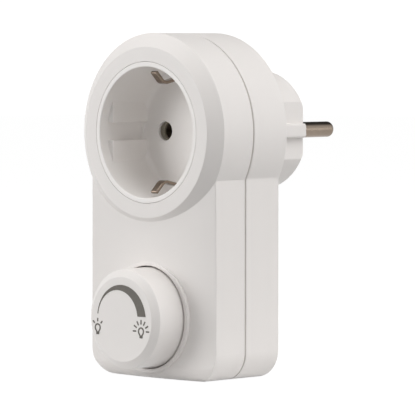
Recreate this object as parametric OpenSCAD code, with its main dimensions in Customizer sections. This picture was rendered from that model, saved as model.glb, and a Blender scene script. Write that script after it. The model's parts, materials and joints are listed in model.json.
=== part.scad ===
// Plug-in dimmer: a socket head over a body with a dial, and a two-pin plug behind.
// The origin is midway between the pins on the plug's end face.
// +Y points along the pins, the socket and the dial face -Y, and +Z is up.

/* [Case] */
// Width of the body below the round head
case_w = 52; // [50:0.5:56]
// Distance from the socket axis down to the flat bottom
case_drop = 73; // [72.5:0.5:80]
// Depth from the ring face to the rear face
case_depth = 30; // [29:0.5:36]
// Radius of the two bottom corners
corner_r = 8.5; // [6:0.5:12]
// Rounding of the body front at the bottom
chin_r = 4.5; // [3:0.5:6]
// Wall thickness of both covers
wall = 2.2; // [1.8:0.1:2.6]
// Depth of the seam behind the ring face
seam_depth = 15.6; // [14.5:0.1:18]
// Width of the open seam groove
seam_gap = 0.5; // [0.2:0.1:1]
// Thickness of the rear cover's tongue inside the seam
tongue_t = 0.9; // [0.6:0.1:1.2]
// Length of the tongue
tongue_len = 2; // [1:0.1:3]

/* [Socket head] */
// Width of the flat ring face, from the recess rim outwards
ring_face_w = 5.8; // [5:0.1:8]
// Radial width of the conical bevel round the ring
ring_bevel_w = 4.1; // [3.5:0.1:6]
// Height of the ring face above the side edges of the body front
ring_step = 3.1; // [2:0.1:4]
// How far the middle of the body front lies behind the ring face
front_drop = 0.75; // [0.4:0.05:1.2]
// Radius of the recess at its rim
recess_r = 19.5; // [19:0.1:21]
// How much narrower the recess radius is at its floor
recess_draft = 0.8; // [0:0.1:1.2]
// Depth of the recess
recess_depth = 17.7; // [17:0.1:18.5]
// Distance between the two flats inside the recess
recess_flats = 32.8; // [32:0.1:35]
// How far behind the ring face the flats start
flats_start = 1.9; // [1:0.1:4]
// Width of the groove down the middle of each flat
flat_groove_w = 5.3; // [4:0.1:8]
// Radial width of the cup's lip
lip_w = 1.3; // [1:0.1:2]
// Thickness of the recess floor
cup_floor_t = 2.6; // [2:0.1:3.5]
// Radius of the two holes in the recess floor
hole_r = 2.84; // [2.6:0.01:3.2]

/* [Plug] */
// Distance between the pins
pin_pitch = 19; // [18:0.1:20]
// Pin diameter
pin_d = 4.8; // [4:0.1:5]
// Pin length from the plug's end face
pin_len = 19; // [17:0.1:20]
// Rounding of the pin tip
pin_tip_r = 1.6; // [0.8:0.1:2]
// Radius of the plug body
plug_r = 17.9; // [17.6:0.1:18.6]
// Length of the plug body behind the rear face
plug_len = 21.5; // [20:0.5:26]
// Length of the plug's full round base
plug_base_len = 3.5; // [2:0.5:5]
// Distance between the plug's side flats
plug_flats = 31.5; // [30:0.1:32]
// Distance across the ribs on the flats
plug_ribs = 35.2; // [33:0.1:35.2]
// Width of each rib
plug_rib_w = 4.4; // [3:0.1:6]
// Rounding of the plug's end edge
plug_end_r = 1; // [0.4:0.1:1.5]
// Thickness of the plug's end wall
plug_end_t = 2.2; // [1.8:0.1:3]
// Width of the earth channels on the plug
channel_w = 6.6; // [6:0.1:8]
// Depth of the earth channels below the plug's round surface
channel_depth = 2.5; // [2.1:0.1:2.7]

/* [Contacts] */
// Radial thickness of the contact sleeves
sleeve_t = 0.55; // [0.4:0.05:0.7]
// Length of the contact sleeves
sleeve_len = 17; // [14:0.5:18]
// Width of the slit along each sleeve
sleeve_slit = 0.8; // [0.5:0.1:1.2]
// Thickness of the earth spring fingers
finger_t = 0.9; // [0.6:0.1:1.1]
// Width of the earth spring fingers
finger_w = 2.6; // [2:0.1:4]
// Distance from the socket axis to the inner side of each finger's bend
finger_reach = 14.2; // [13.5:0.1:15]
// Thickness of the earth strips on the plug
strip_t = 0.8; // [0.5:0.1:1]
// Width of the earth strips and of the bridge
strip_w = 5; // [4:0.1:5.6]

/* [Dial] */
// Distance from the socket axis down to the dial axis
knob_drop = 54.7; // [53:0.1:55]
// Height of the dial face in front of the ring face
knob_proud = 10; // [7:0.5:14]
// Radius of the flat dial face
knob_face_r = 12.5; // [10:0.1:13]
// Radius of the dial behind its bevel
knob_top_r = 14.6; // [13.8:0.1:14.8]
// Axial height of the bevel
knob_bevel = 1.6; // [0.8:0.1:2.5]
// Radius of the dial at its base
knob_base_r = 14.95; // [14.8:0.05:15.2]
// Wall thickness of the dial
knob_wall = 1.7; // [1.2:0.1:2.2]
// Radial gap between dial and collar
knob_gap = 0.35; // [0.3:0.05:0.6]
// Outer radius of the collar
collar_r = 16.7; // [16.4:0.1:17]
// Height of the collar above the middle of the body front
collar_rise = 0.1; // [0.05:0.05:0.6]
// Depth of the well inside the collar
well_depth = 3.25; // [3:0.05:4.5]
// Thickness of the printed marks
print_t = 0.08; // [0.05:0.01:0.15]

/* [Control] */
// Diameter of the control shaft
shaft_d = 6; // [5:0.5:6.5]
// Radius of the potentiometer case
pot_r = 8.4; // [7.8:0.1:9]
// Depth of the potentiometer case
pot_depth = 6; // [6:0.1:8]
// Thickness of the circuit board
board_t = 1.6; // [1:0.1:2]

/* [Fasteners] */
// Shank diameter of the case screws
case_screw_d = 2.8; // [2.5:0.1:3]
// Head diameter of the case screws
case_head_d = 5.5; // [5:0.1:5.6]
// Depth of the head below the rear face
case_head_sink = 1.6; // [0.5:0.1:3]
// Shank diameter of the board screws and the pin plate screw
small_screw_d = 2; // [1.6:0.1:2.2]
// Outside diameter of the insulated wires
wire_d = 2; // [1.6:0.1:2.4]

/* [Clearances] */
// Close fit between fixed pieces, and of the shaft in its bushing
fit = 0.05; // [0.02:0.01:0.1]
// Gap between the cup's lip and the ring
lip_gap = 0.2; // [0.1:0.05:0.4]
// Free gap around pieces that pass each other
free = 0.4; // [0.3:0.1:0.6]

/* [Hidden] */
$fn = 96;
far = 1;

// Planes along the depth, from the knob face to the plug's end
y_rear = -plug_len;
y_ring = y_rear - case_depth;
y_crown = y_ring + front_drop;
y_front = y_ring + ring_step;
y_seam = y_ring + seam_depth;
y_ring_in = y_ring + wall;
y_rear_in = y_rear - wall;
y_floor = y_ring + recess_depth;
y_cup_back = y_floor + cup_floor_t;
y_knob = y_ring - knob_proud;
y_collar = y_crown - collar_rise;
y_well = y_collar + well_depth;
y_well_in = y_well + wall;
y_end_in = -plug_end_t;

// Head and body
ring_face_r = recess_r + ring_face_w;
head_r = ring_face_r + ring_bevel_w;
bevel_slope = ring_step / ring_bevel_w;
crown_h = ring_step - front_drop;
crown_r = (pow(case_w / 2, 2) + pow(crown_h, 2)) / (2 * crown_h);
crown_sides = 360;
lip_r = recess_r + lip_w;
cup_r = lip_r - 0.4;
cup_flange_r = lip_r + 2.8;
cup_flange_t = 1.6;
groove_r = cup_r - 1;

// Case screws, two in the head and two in the bottom corners
case_boss_r = case_screw_d / 2 + 1.7;
case_seat_r = case_head_d / 2 + 1.4;
case_seat_t = 3.4;
case_head_h = 1.9;
case_bite = 8;
y_head_seat = y_rear - case_head_sink - case_head_h;
head_boss = (head_r - wall - case_boss_r) * sin(45);
foot_boss_x = case_w / 2 - wall - case_boss_r - 1.2;
foot_boss_z = -case_drop + wall + case_boss_r + 1.7;
head_screws = [[-head_boss, head_boss], [head_boss, head_boss]];
foot_screws = [[-foot_boss_x, foot_boss_z], [foot_boss_x, foot_boss_z]];
case_screw_at = concat(head_screws, foot_screws);

// Contact sleeves and their carrier
pin_x = pin_pitch / 2;
sleeve_r = pin_d / 2 + fit;
sleeve_out = sleeve_r + sleeve_t;
tube_r = sleeve_out + 0.7;
carrier_t = 2;
carrier_w = pin_pitch + 2 * tube_r + 2.6;
carrier_h = 27;
y_carrier = y_cup_back + fit;
y_carrier_back = y_carrier + carrier_t;
y_sleeve = y_cup_back + 0.3;
y_sleeve_end = y_sleeve + sleeve_len;
y_tube_end = y_sleeve_end - 1.5;
tab_w = 3;
tab_len = 2;
tab_z = -sleeve_out;
y_tab_end = y_sleeve_end + tab_len;
carrier_screw_r = 0.8;
carrier_head_r = 3.2;
carrier_head_h = 1.2;
carrier_boss_r = 2.4;
carrier_bite = cup_floor_t - 0.9;
carrier_at = [[pin_x, pin_x], [-pin_x, -pin_x]];

// Earth bridge, strips and rivets
channel_floor = plug_r - channel_depth;
y_bridge = y_carrier_back + fit + finger_t / 2;
finger_root_z = recess_r - recess_draft - 1.7;
finger_bend_z = finger_reach + finger_t / 2;
finger_bend_y = y_ring + 7;
finger_tip = [y_ring + 3.6, recess_r - 1.6];
finger_slot_h = finger_t + 2 * free;
bridge_z = finger_root_z + 0.3;
strip_z = channel_floor + 0.8 + strip_t / 2;
y_strip = y_bridge + finger_t / 2 + fit + strip_t / 2;
strip_root_z = 9;
strip_tuck = [y_end_in - 0.6, channel_floor - 2.6];
y_strip_bend = y_end_in - 2.4;
rivet_z = 12;
rivet_r = 1;
rivet_head_r = 1.8;
rivet_head_h = 0.7;

// Pins and the plate that traps them
pin_r = pin_d / 2;
shank_r = pin_r + 0.6;
flange_r = shank_r + 0.8;
flange_t = 1.8;
tail_r = 1.5;
tail_len = 3.2;
y_flange_front = y_end_in - fit;
y_flange = y_flange_front - flange_t;
y_tail = y_flange - tail_len;
plate_t = 1.8;
plate_h = 5.4;
plate_rim = 1.6;
plate_end_r = tail_r + plate_rim;
y_plate_back = y_flange - fit;
y_plate = y_plate_back - plate_t;
eyelet_t = 0.6;
eyelet_r = tail_r + 1.2;
y_eyelet = y_plate - fit - eyelet_t;
small_screw_r = small_screw_d / 2;
small_head_rim = 1.3;
small_head_r = small_screw_r + small_head_rim;
small_head_h = 1.3;
plug_boss_r = small_screw_r + 1.6;
channel_wall = 1.6;
plug_wall = 1.8;
tube_pocket_r = tube_r + 0.25;

// Potentiometer, dial and board stack
knob_z = -knob_drop;
shaft_r = shaft_d / 2;
neck_r = shaft_r + 0.5;
bushing_t = 1;
pot_wall = 0.9;
y_bushing = y_well_in + 0.3;
y_pot = y_bushing + bushing_t;
y_pot_in = y_pot + fit;
y_pot_back = y_pot_in + pot_depth;
y_neck = y_well + free;
track_t = 0.8;
y_track_back = y_pot_back - pot_wall - fit;
y_track = y_track_back - track_t;
shoulder_r = shaft_r + 1;
shoulder_t = 0.8;
y_shoulder = y_pot + 0.1;
y_rotor = y_shoulder + shoulder_t + fit;
rotor_t = 1.7;
rotor_r = pot_r - pot_wall - 1;
spindle_r = shaft_r * 0.6;
wiper_w = 1.6;
wiper_orbit = rotor_r - 1.2;
flat_depth = shaft_r / 2;
y_shaft = y_knob + 4.8;
y_flat_end = y_well - 0.2;
y_knob_base = y_well - 0.7;
hub_r = shaft_r + 2;
knob_rib_t = 1.2;
y_board = y_pot_back + 0.1;
y_parts = y_board + board_t;
board_margin = 1.8;
board_w = case_w - 2 * wall - 2 * board_margin;
board_lap = 2.9;
board_top = -head_r + board_lap;
board_screw_inset = 2.5;
board_screw_drop = 5;
board_screw_x = board_w / 2 - board_screw_inset;
board_screw_z = board_top - board_screw_drop;
part_clearance = 2.25;
part_room = y_rear_in - y_parts - part_clearance;
board_post_r = small_screw_r + 1.8;
board_bite = 5.5;
terminal_r = 0.5;
terminal_pitch = 5;
terminal_drop = 4.8;
terminal_z = knob_z - terminal_drop;
terminal_stub = 1.2;
lead_r = 0.4;
seat = fit;

// Fuse across the top of the board
fuse_x = -5.5;
fuse_drop = 5;
fuse_z = board_top - fuse_drop;
fuse_len = 20;
fuse_cap_len = 5;
fuse_r = 2.55;
fuse_glass_r = 2.2;
fuse_clip_w = 4;
fuse_clip_t = 0.6;
fuse_clip_base = 1;
fuse_y = y_parts + seat + fuse_clip_base + fuse_r + fit;

// Triac and heat sink, left of the dial axis
triac_x = -12;
triac_w = 10;
triac_bottom = knob_z - 5.3;
triac_body_h = 9;
triac_tab_h = 15.5;
triac_body_t = 3.2;
triac_tab_t = 1.3;
y_triac = y_parts + 1.2;
y_tab = y_triac + triac_body_t;
y_sink = y_tab + triac_tab_t + fit;
sink_w = 18;
sink_gap = 1.95;
sink_h = fuse_z - fuse_r - sink_gap - triac_bottom;
sink_t = 1.5;
sink_screw_r = 1.5;
sink_screw_z = triac_bottom + triac_tab_h - 2.8;
nut_r = 2.9;
nut_t = 2.3;
sink_head_r = 2.8;
sink_head_h = 1.7;
triac_lead_drop = 2.5;
triac_lead_w = 0.8;

// Choke, right of the dial axis
choke_x = 12;
choke_r = part_room / 2;
choke_rim = choke_r / 9;
choke_core_r = choke_r / 2;
choke_h = 13;
choke_flange_t = 1.5;
choke_z = knob_z - 7.8;
choke_y = y_parts + choke_r + seat;

// Capacitors, resistors and diac
film_w = 13;
film_h = 6.5;
film_x = 5;
film_gap = 3.5;
film_at = [film_x, choke_z + choke_h + film_gap];
film_size = [film_w, part_room, film_h];
film_lead_inset = 1.5;
timing_at = [-3.5, knob_z - 12];
timing_size = [6.5, 6, 2.5];
axial_lead_r = 0.3;
resistor_r = 1.1;
resistor_len = 6.5;
resistor_lead = 1.9;
resistor_x = -1;
resistor_pitch = 2.8;
resistor_z = knob_z + 2.7;
diac_r = 1;
diac_len = 4;
diac_gap = 1;
diac_x = triac_x + triac_w / 2 + diac_gap + diac_r;
diac_z = resistor_z;

// Wires: corner points of each route and the radius of its bends
wire_r = wire_d / 2;
wire_bend_r = 2.4;
wire_sides = 8;
wire_drop = 3;
wire_z = board_top - wire_drop;
y_wire_drop = (y_carrier_back + y_rear_in) / 2;
y_live_turn = (y_tab_end + y_tail) / 2;
live_lane_gap = 2.4;
load_lane_gap = 1.6;
live_lane = (plug_r - plug_wall - wire_r - live_lane_gap) * [cos(55), -sin(55)];
load_lane = (plug_r - plug_wall - wire_r - load_lane_gap) * [cos(36), -sin(36)];
live_wire_x = 8;
load_wire_x = 14;
live_route = [
    [pin_x, y_tail - fit, 0],
    [pin_x, y_live_turn, 0],
    [live_lane[0], y_live_turn, live_lane[1] + 1],
    [live_lane[0], y_wire_drop, live_lane[1]],
    [live_wire_x, y_wire_drop, wire_z],
    [live_wire_x, y_parts + fit, wire_z]
];
load_route = [
    [pin_x, y_tab_end, tab_z - wire_r - fit],
    [pin_x, y_sleeve_end, tab_z - wire_r - fit],
    [load_lane[0], y_tube_end - 1, load_lane[1] + 1.5],
    [load_lane[0], y_wire_drop, load_lane[1]],
    [load_wire_x, y_wire_drop, wire_z],
    [load_wire_x, y_parts + fit, wire_z]
];

// Printed marks on the dial face, about the dial axis
wedge_r = 10.1;
wedge_inner_r = 8.35;
wedge_shift = [-1.55, 0.2];
wedge_foot = 1.2;
lamp_line = 0.3;
dim_lamp = [-10, -2.9];
bright_lamp = [8.2, -3.1];
lamp_r = 1.25;
lamp_neck_w = 1.3;
lamp_foot = 1.95;
lamp_shoulder = 0.9;
dim_rays = [-45, 0, 45];
dim_ray = [1.75, 2.75];
bright_rays = [-90, -60, -30, 0, 30, 60, 90];
bright_ray = [2, 3.35];

// Round bend of radius r at corner b between a and c, as points
function unit(v) = v / norm(v);
function bend(a, b, c, r, n) =
    let (
        u = unit(a - b),
        v = unit(c - b),
        half = acos(u * v) / 2,
        room = min(norm(a - b), norm(c - b)) * 0.49,
        reach = min(r / tan(half), room),
        rr = reach * tan(half),
        mid = b + unit(u + v) * (rr / sin(half)),
        start = b + u * reach - mid,
        finish = b + v * reach - mid,
        sweep = 180 - 2 * half
    )
    [for (i = [0:n]) mid + (start * sin(sweep * (1 - i / n)) + finish * sin(sweep * i / n)) / sin(sweep)];
function bent(p, r, n = 5) = [
    p[0],
    for (i = [1:len(p) - 2]) each bend(p[i - 1], p[i], p[i + 1], r, n),
    p[len(p) - 1]
];
function heading(p, i) = unit(p[min(i + 1, len(p) - 1)] - p[max(i - 1, 0)]);
function beside(p, t) = [
    for (i = [0:len(p) - 1])
        let (h = heading(p, i))
        p[i] + t * [-h[1], h[0]]
];
function backwards(p) = [for (i = [len(p) - 1:-1:0]) p[i]];
function ribbon(p, t) = concat(beside(p, t / 2), backwards(beside(p, -t / 2)));

// Outline in X and Z drawn from depth y0 to y1
module slab(y0, y1)
    translate([0, y1, 0])
        rotate([90, 0, 0])
            linear_extrude(y1 - y0)
                children();

// Profile in radius and depth turned about an axis along Y
module turned(x = 0, z = 0)
    translate([x, 0, z])
        rotate([-90, 0, 0])
            rotate_extrude()
                children();

module rod(y0, y1, r, x = 0, z = 0)
    translate([x, y0, z])
        rotate([-90, 0, 0])
            cylinder(h = y1 - y0, r = r);

module block(x0, x1, y0, y1, z0, z1)
    translate([x0, y0, z0])
        cube([x1 - x0, y1 - y0, z1 - z0]);

// Profile in depth and height drawn to a width along X
module strip_across(w)
    rotate([90, 0, 90])
        translate([0, 0, -w / 2])
            linear_extrude(w)
                children();

// Round tube along a route
module wire(route) {
    path = bent(route, wire_bend_r);
    n = wire_sides;
    last = len(path) - 1;
    points = [
        for (i = [0:last])
            let (h = heading(path, i), u = unit(cross(h, [1, 0, 0])), v = cross(h, u))
            for (k = [0:n - 1])
                path[i] + wire_r * (cos(360 * k / n) * u + sin(360 * k / n) * v)
    ];
    sides = [
        for (i = [0:last - 1], k = [0:n - 1])
            let (a = i * n + k, b = i * n + (k + 1) % n)
            each [[a, a + n, b], [b, a + n, b + n]]
    ];
    ends = [
        [for (k = [0:n - 1]) k],
        [for (k = [n - 1:-1:0]) last * n + k]
    ];
    polyhedron(points, concat(sides, ends));
}

module screw(y_seat, head_r, head_h, shank_r, y_tip, x, z) {
    rod(y_seat, y_seat + head_h, head_r, x, z);
    rod(y_tip, y_seat + head_h / 2, shank_r, x, z);
}

// Outline of the body below the head, moved inwards by an inset
module body_outline(inset = 0) {
    half = case_w / 2;
    translate([-half + inset, -case_drop + corner_r])
        square([case_w - 2 * inset, case_drop - corner_r]);
    translate([-half + corner_r, -case_drop + inset])
        square([case_w - 2 * corner_r, corner_r]);
    for (side = [-1, 1])
        translate([side * (half - corner_r), -case_drop + corner_r])
            circle(corner_r - inset);
}

// Outline of the whole case
module case_outline(inset = 0) {
    circle(head_r - inset);
    body_outline(inset);
}

module at_case_screws()
    for (p = case_screw_at)
        translate([p[0], 0, p[1]])
            children();

module at_pins()
    for (side = [-1, 1])
        translate([side * pin_x, 0, 0])
            children();

module upper_and_lower()
    for (turn = [0, 180])
        rotate([0, turn, 0])
            children();

// Front cover
module head_front()
    turned()
        polygon([
            [0, y_ring],
            [ring_face_r, y_ring],
            [head_r, y_front],
            [head_r, y_seam - seam_gap / 2],
            [0, y_seam - seam_gap / 2]
        ]);

module head_cavity() {
    cavity_r = head_r - wall;
    y_wide = y_ring_in + (cavity_r - ring_face_r) * bevel_slope;
    turned()
        polygon([
            [0, y_ring_in],
            [ring_face_r, y_ring_in],
            [cavity_r, y_wide],
            [cavity_r, y_seam + far],
            [0, y_seam + far]
        ]);
}

// Disc whose rim is the crowned body front with its rounded bottom edge
module crown(inset) {
    r = crown_r - inset;
    chin = chin_r - inset;
    low = -case_drop + inset;
    translate([0, y_crown + crown_r, 0])
        rotate_extrude($fn = crown_sides)
            union() {
                translate([0, low + chin])
                    square([r, case_drop + head_r]);
                translate([0, low])
                    square([r - chin, chin + far]);
                translate([r - chin, low + chin])
                    circle(chin, $fn = 48);
            }
}

module body_front(inset, y_back)
    intersection() {
        slab(y_crown - far, y_back)
            body_outline(inset);
        crown(inset);
    }

module collar()
    rod(y_collar, y_front, collar_r, 0, knob_z);

module well_cup()
    intersection() {
        rod(y_collar, y_well_in, knob_base_r + knob_gap + wall, 0, knob_z);
        body_front(wall / 2, y_seam);
    }

module tongue_groove()
    slab(y_seam - tongue_len - 2 * fit, y_seam + far)
        difference() {
            case_outline(wall - tongue_t - fit);
            case_outline(wall + fit);
        }

module front_cover()
    color("#eeece8")
        difference() {
            union() {
                difference() {
                    union() {
                        head_front();
                        body_front(0, y_seam - seam_gap / 2);
                        collar();
                    }
                    body_front(wall, y_seam + far);
                    head_cavity();
                }
                well_cup();
                for (p = head_screws)
                    rod(y_ring_in, y_seam - fit, case_boss_r, p[0], p[1]);
                for (p = foot_screws)
                    rod(y_front, y_seam - fit, case_boss_r, p[0], p[1]);
                for (side = [-1, 1])
                    rod(y_front, y_board - fit, board_post_r, side * board_screw_x, board_screw_z);
            }
            tongue_groove();
            rod(y_ring - far, y_ring_in + far, lip_r + lip_gap);
            rod(y_collar - far, y_well, knob_base_r + knob_gap, 0, knob_z);
            rod(y_well - far, y_well_in + far, neck_r + fit, 0, knob_z);
            at_case_screws()
                rod(y_seam - case_bite - far, y_seam + far, case_screw_d / 2 + fit);
            for (side = [-1, 1])
                rod(
                    y_board - board_bite - far, y_board + far, small_screw_r + fit,
                    side * board_screw_x, board_screw_z
                );
        }

// Rear cover with the plug body
module plug_outline() {
    intersection() {
        circle(plug_r);
        square([plug_flats, 2 * plug_r], center = true);
    }
    square([plug_ribs, plug_rib_w], center = true);
}

module plug_body()
    intersection() {
        turned()
            union() {
                translate([0, y_rear - wall])
                    square([plug_r, plug_len + wall - plug_end_r]);
                translate([0, y_rear - wall])
                    square([plug_r - plug_end_r, plug_len + wall]);
                translate([plug_r - plug_end_r, -plug_end_r])
                    circle(plug_end_r);
            }
        union() {
            rod(y_rear_in, y_rear + plug_base_len, plug_r);
            slab(y_rear_in, 0)
                plug_outline();
        }
    }

module plug_cavity()
    slab(y_rear_in - far, y_end_in)
        difference() {
            union() {
                intersection() {
                    circle(plug_r - plug_wall);
                    square([plug_flats - 2 * plug_wall, 2 * plug_r], center = true);
                }
                for (side = [-1, 1])
                    translate([side * pin_x, 0])
                        circle(tube_pocket_r);
            }
            for (side = [0, 180])
                rotate(side)
                    translate([-channel_w / 2 - channel_wall, channel_floor - channel_wall])
                        square([channel_w + 2 * channel_wall, plug_r]);
        }

module earth_channels()
    upper_and_lower() {
        block(-channel_w / 2, channel_w / 2, y_rear_in - far, far, channel_floor, plug_r + 0.2);
        block(
            -strip_w / 2 - free, strip_w / 2 + free, y_strip_bend - 1.6, y_end_in,
            channel_floor - channel_wall - far, channel_floor + far
        );
    }

module rear_cover()
    color("#eeece8")
        difference() {
            union() {
                difference() {
                    slab(y_seam + seam_gap / 2, y_rear)
                        case_outline();
                    slab(y_seam, y_rear_in)
                        case_outline(wall);
                }
                slab(y_seam - tongue_len, y_seam + wall)
                    difference() {
                        case_outline(wall - tongue_t);
                        case_outline(wall);
                    }
                difference() {
                    plug_body();
                    plug_cavity();
                }
                at_case_screws() {
                    rod(y_seam + fit, y_rear_in + far, case_boss_r);
                    rod(y_head_seat - case_seat_t, y_rear_in + far, case_seat_r);
                }
                rod(y_plate_back + fit, y_end_in + far / 2, plug_boss_r);
            }
            slab(y_rear_in - far, y_rear + far)
                intersection() {
                    circle(plug_r - plug_wall);
                    square([plug_flats - 2 * plug_wall, 2 * (channel_floor - channel_wall)], center = true);
                }
            earth_channels();
            at_pins() {
                rod(y_rear_in - far, y_rear + far, tube_pocket_r);
                rod(y_end_in - far, far, shank_r + fit);
            }
            rod(y_plate_back - far, -plug_end_t * 0.4, small_screw_r + fit);
            at_case_screws() {
                rod(y_seam - far, y_rear, case_screw_d / 2 + 0.2);
                rod(y_head_seat, y_rear + far, case_head_d / 2 + 0.25);
            }
        }

// Socket cup
module recess_shape()
    turned()
        polygon([
            [0, y_ring - far],
            [recess_r, y_ring - far],
            [recess_r, y_ring],
            [recess_r - recess_draft, y_floor],
            [0, y_floor]
        ]);

module recess_flat_blocks()
    difference() {
        rod(y_ring + flats_start, y_floor + far, groove_r + 0.5);
        block(-recess_flats / 2, recess_flats / 2, y_ring, y_floor + 2 * far, -cup_r, cup_r);
        block(-cup_r, cup_r, y_ring, y_floor + 2 * far, -flat_groove_w / 2, flat_groove_w / 2);
    }

module socket_cup()
    color("#e4e1db")
        difference() {
            union() {
                difference() {
                    union() {
                        rod(y_ring, y_cup_back, cup_r);
                        rod(y_ring, y_ring_in + far, lip_r);
                        rod(y_ring_in + fit, y_ring_in + fit + cup_flange_t, cup_flange_r);
                    }
                    recess_shape();
                }
                recess_flat_blocks();
                for (p = carrier_at)
                    rod(y_cup_back - far, y_carrier_back - fit, carrier_boss_r, p[0], p[1]);
            }
            at_pins()
                rod(y_floor - far, y_cup_back + far, hole_r);
            upper_and_lower()
                block(
                    -finger_w / 2 - free, finger_w / 2 + free, y_floor - far, y_cup_back + far,
                    finger_root_z - finger_slot_h / 2, finger_root_z + finger_slot_h / 2
                );
            for (p = carrier_at)
                rod(y_cup_back - carrier_bite, y_carrier_back, carrier_screw_r + fit, p[0], p[1]);
            at_case_screws()
                rod(y_ring, y_cup_back + far, case_boss_r + free);
        }

module case_screws()
    color("#8d9094")
        for (p = case_screw_at)
            screw(
                y_head_seat, case_head_d / 2, case_head_h, case_screw_d / 2, y_seam - case_bite,
                p[0], p[1]
            );

// Contacts behind the socket holes
module contact_carrier()
    color("#d8d4c8")
        difference() {
            union() {
                block(
                    -carrier_w / 2, carrier_w / 2, y_carrier, y_carrier_back,
                    -carrier_h / 2, carrier_h / 2
                );
                at_pins()
                    rod(y_carrier, y_tube_end, tube_r);
            }
            at_pins()
                rod(y_carrier - far, y_tube_end + far, sleeve_out + fit);
            for (p = carrier_at)
                rod(y_carrier - far, y_carrier_back + far, carrier_boss_r + fit, p[0], p[1]);
            upper_and_lower()
                rod(y_carrier - far, y_carrier_back + far, rivet_r + 0.2, 0, rivet_z);
        }

module carrier_screws()
    color("#8d9094")
        for (p = carrier_at)
            screw(
                y_carrier_back + fit, carrier_head_r, carrier_head_h, carrier_screw_r,
                y_cup_back - carrier_bite + fit, p[0], p[1]
            );

module sleeve(inward)
    difference() {
        rod(y_sleeve, y_sleeve_end, sleeve_out);
        rod(y_sleeve - far, y_sleeve_end + far, sleeve_r);
        block(
            min(0, inward * sleeve_out * 2), max(0, inward * sleeve_out * 2),
            y_sleeve - far, y_sleeve_end + far, -sleeve_slit / 2, sleeve_slit / 2
        );
    }

module tab(y1)
    block(-tab_w / 2, tab_w / 2, y_sleeve_end - 0.8, y1, tab_z, tab_z + sleeve_t - 0.1);

module live_contact()
    color("#c9a45a")
        translate([pin_x, 0, 0]) {
            sleeve(-1);
            tab(y_tab_end);
        }

module neutral_contact()
    color("#c9a45a")
        translate([-pin_x, 0, 0]) {
            sleeve(1);
            tab(y_eyelet + eyelet_t);
            difference() {
                union() {
                    rod(y_eyelet, y_eyelet + eyelet_t, eyelet_r);
                    block(-tab_w / 2, tab_w / 2, y_eyelet, y_eyelet + eyelet_t, tab_z, 0);
                }
                rod(y_eyelet - far, y_eyelet + far, tail_r + fit);
            }
        }

// Earth path from the socket fingers to the plug's strips
module earth_bridge()
    color("#c8bda6")
        difference() {
            union() {
                upper_and_lower()
                    strip_across(finger_w)
                        polygon(ribbon(bent([
                            finger_tip,
                            [finger_bend_y, finger_bend_z],
                            [y_floor, finger_root_z - 0.1],
                            [y_bridge, bridge_z],
                            [y_bridge, strip_root_z]
                        ], 1.2), finger_t));
                block(
                    -strip_w / 2, strip_w / 2, y_bridge - finger_t / 2, y_bridge + finger_t / 2,
                    -rivet_z - 2.4, rivet_z + 2.4
                );
            }
            upper_and_lower()
                rod(y_bridge - far, y_bridge + far, rivet_r + fit, 0, rivet_z);
        }

module earth_strip()
    difference() {
        strip_across(strip_w)
            polygon(ribbon(bent([
                [y_strip, strip_root_z],
                [y_strip, strip_z],
                [y_strip_bend, strip_z],
                strip_tuck
            ], 1.2), strip_t));
        rod(y_strip - far, y_strip + far, rivet_r + fit, 0, rivet_z);
    }

module upper_earth_strip()
    color("#c8bda6")
        earth_strip();

module lower_earth_strip()
    color("#c8bda6")
        rotate([0, 180, 0])
            earth_strip();

module earth_rivets()
    color("#b8a98c")
        upper_and_lower()
            screw(
                y_strip + strip_t / 2 + fit, rivet_head_r, rivet_head_h, rivet_r, y_carrier_back - 0.6,
                0, rivet_z
            );

// Pins, and the plate and screw that hold them
module plug_pin()
    turned()
        intersection() {
            union() {
                translate([0, y_tail])
                    square([tail_r, tail_len + flange_t]);
                translate([0, y_flange])
                    square([flange_r, flange_t]);
                translate([0, y_flange])
                    square([shank_r, -y_flange]);
                square([pin_r, pin_len - pin_tip_r]);
                square([pin_r - pin_tip_r, pin_len]);
                translate([pin_r - pin_tip_r, pin_len - pin_tip_r])
                    circle(pin_tip_r);
            }
            translate([0, y_tail])
                square([flange_r, pin_len - y_tail]);
        }

module live_pin()
    color("#b9b3a8")
        translate([pin_x, 0, 0])
            plug_pin();

module neutral_pin()
    color("#b9b3a8")
        translate([-pin_x, 0, 0])
            plug_pin();

module pin_plate()
    color("#d8d4c8")
        difference() {
            union() {
                block(-pin_x, pin_x, y_plate, y_plate_back, -plate_h / 2, plate_h / 2);
                at_pins()
                    rod(y_plate, y_plate_back, plate_end_r);
            }
            at_pins()
                rod(y_plate - far, y_plate_back + far, tail_r + 0.1);
            rod(y_plate - far, y_plate_back + far, small_screw_r + 0.2);
        }

module pin_plate_screw()
    color("#8d9094")
        mirror([0, 1, 0])
            screw(-y_plate + fit, small_head_r, small_head_h, small_screw_r, plug_end_t * 0.5, 0, 0);

module live_wire()
    color("#7a4a2a")
        wire(live_route);

module load_wire()
    color("#3a3a3c")
        wire(load_route);

// Circuit board and what stands on it
module circuit_board()
    color("#2f6b45")
        difference() {
            slab(y_board, y_parts)
                intersection() {
                    case_outline(wall + board_margin);
                    translate([-case_w / 2, -case_drop])
                        square([case_w, case_drop + board_top]);
                }
            at_case_screws()
                rod(y_board - far, y_parts + far, case_boss_r + free);
            for (side = [-1, 1])
                rod(y_board - far, y_parts + far, small_screw_r + 0.2, side * board_screw_x, board_screw_z);
            at_terminals()
                rod(y_board - far, y_parts + far, terminal_r + fit);
            at_film_leads()
                rod(y_board - far, y_parts + far, lead_r + fit);
        }

module board_screws()
    color("#8d9094")
        for (side = [-1, 1])
            screw(
                y_parts + fit, small_head_r, small_head_h, small_screw_r, y_board - board_bite,
                side * board_screw_x, board_screw_z
            );

module at_terminals()
    for (i = [-1:1])
        translate([i * terminal_pitch, 0, terminal_z])
            children();

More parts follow.
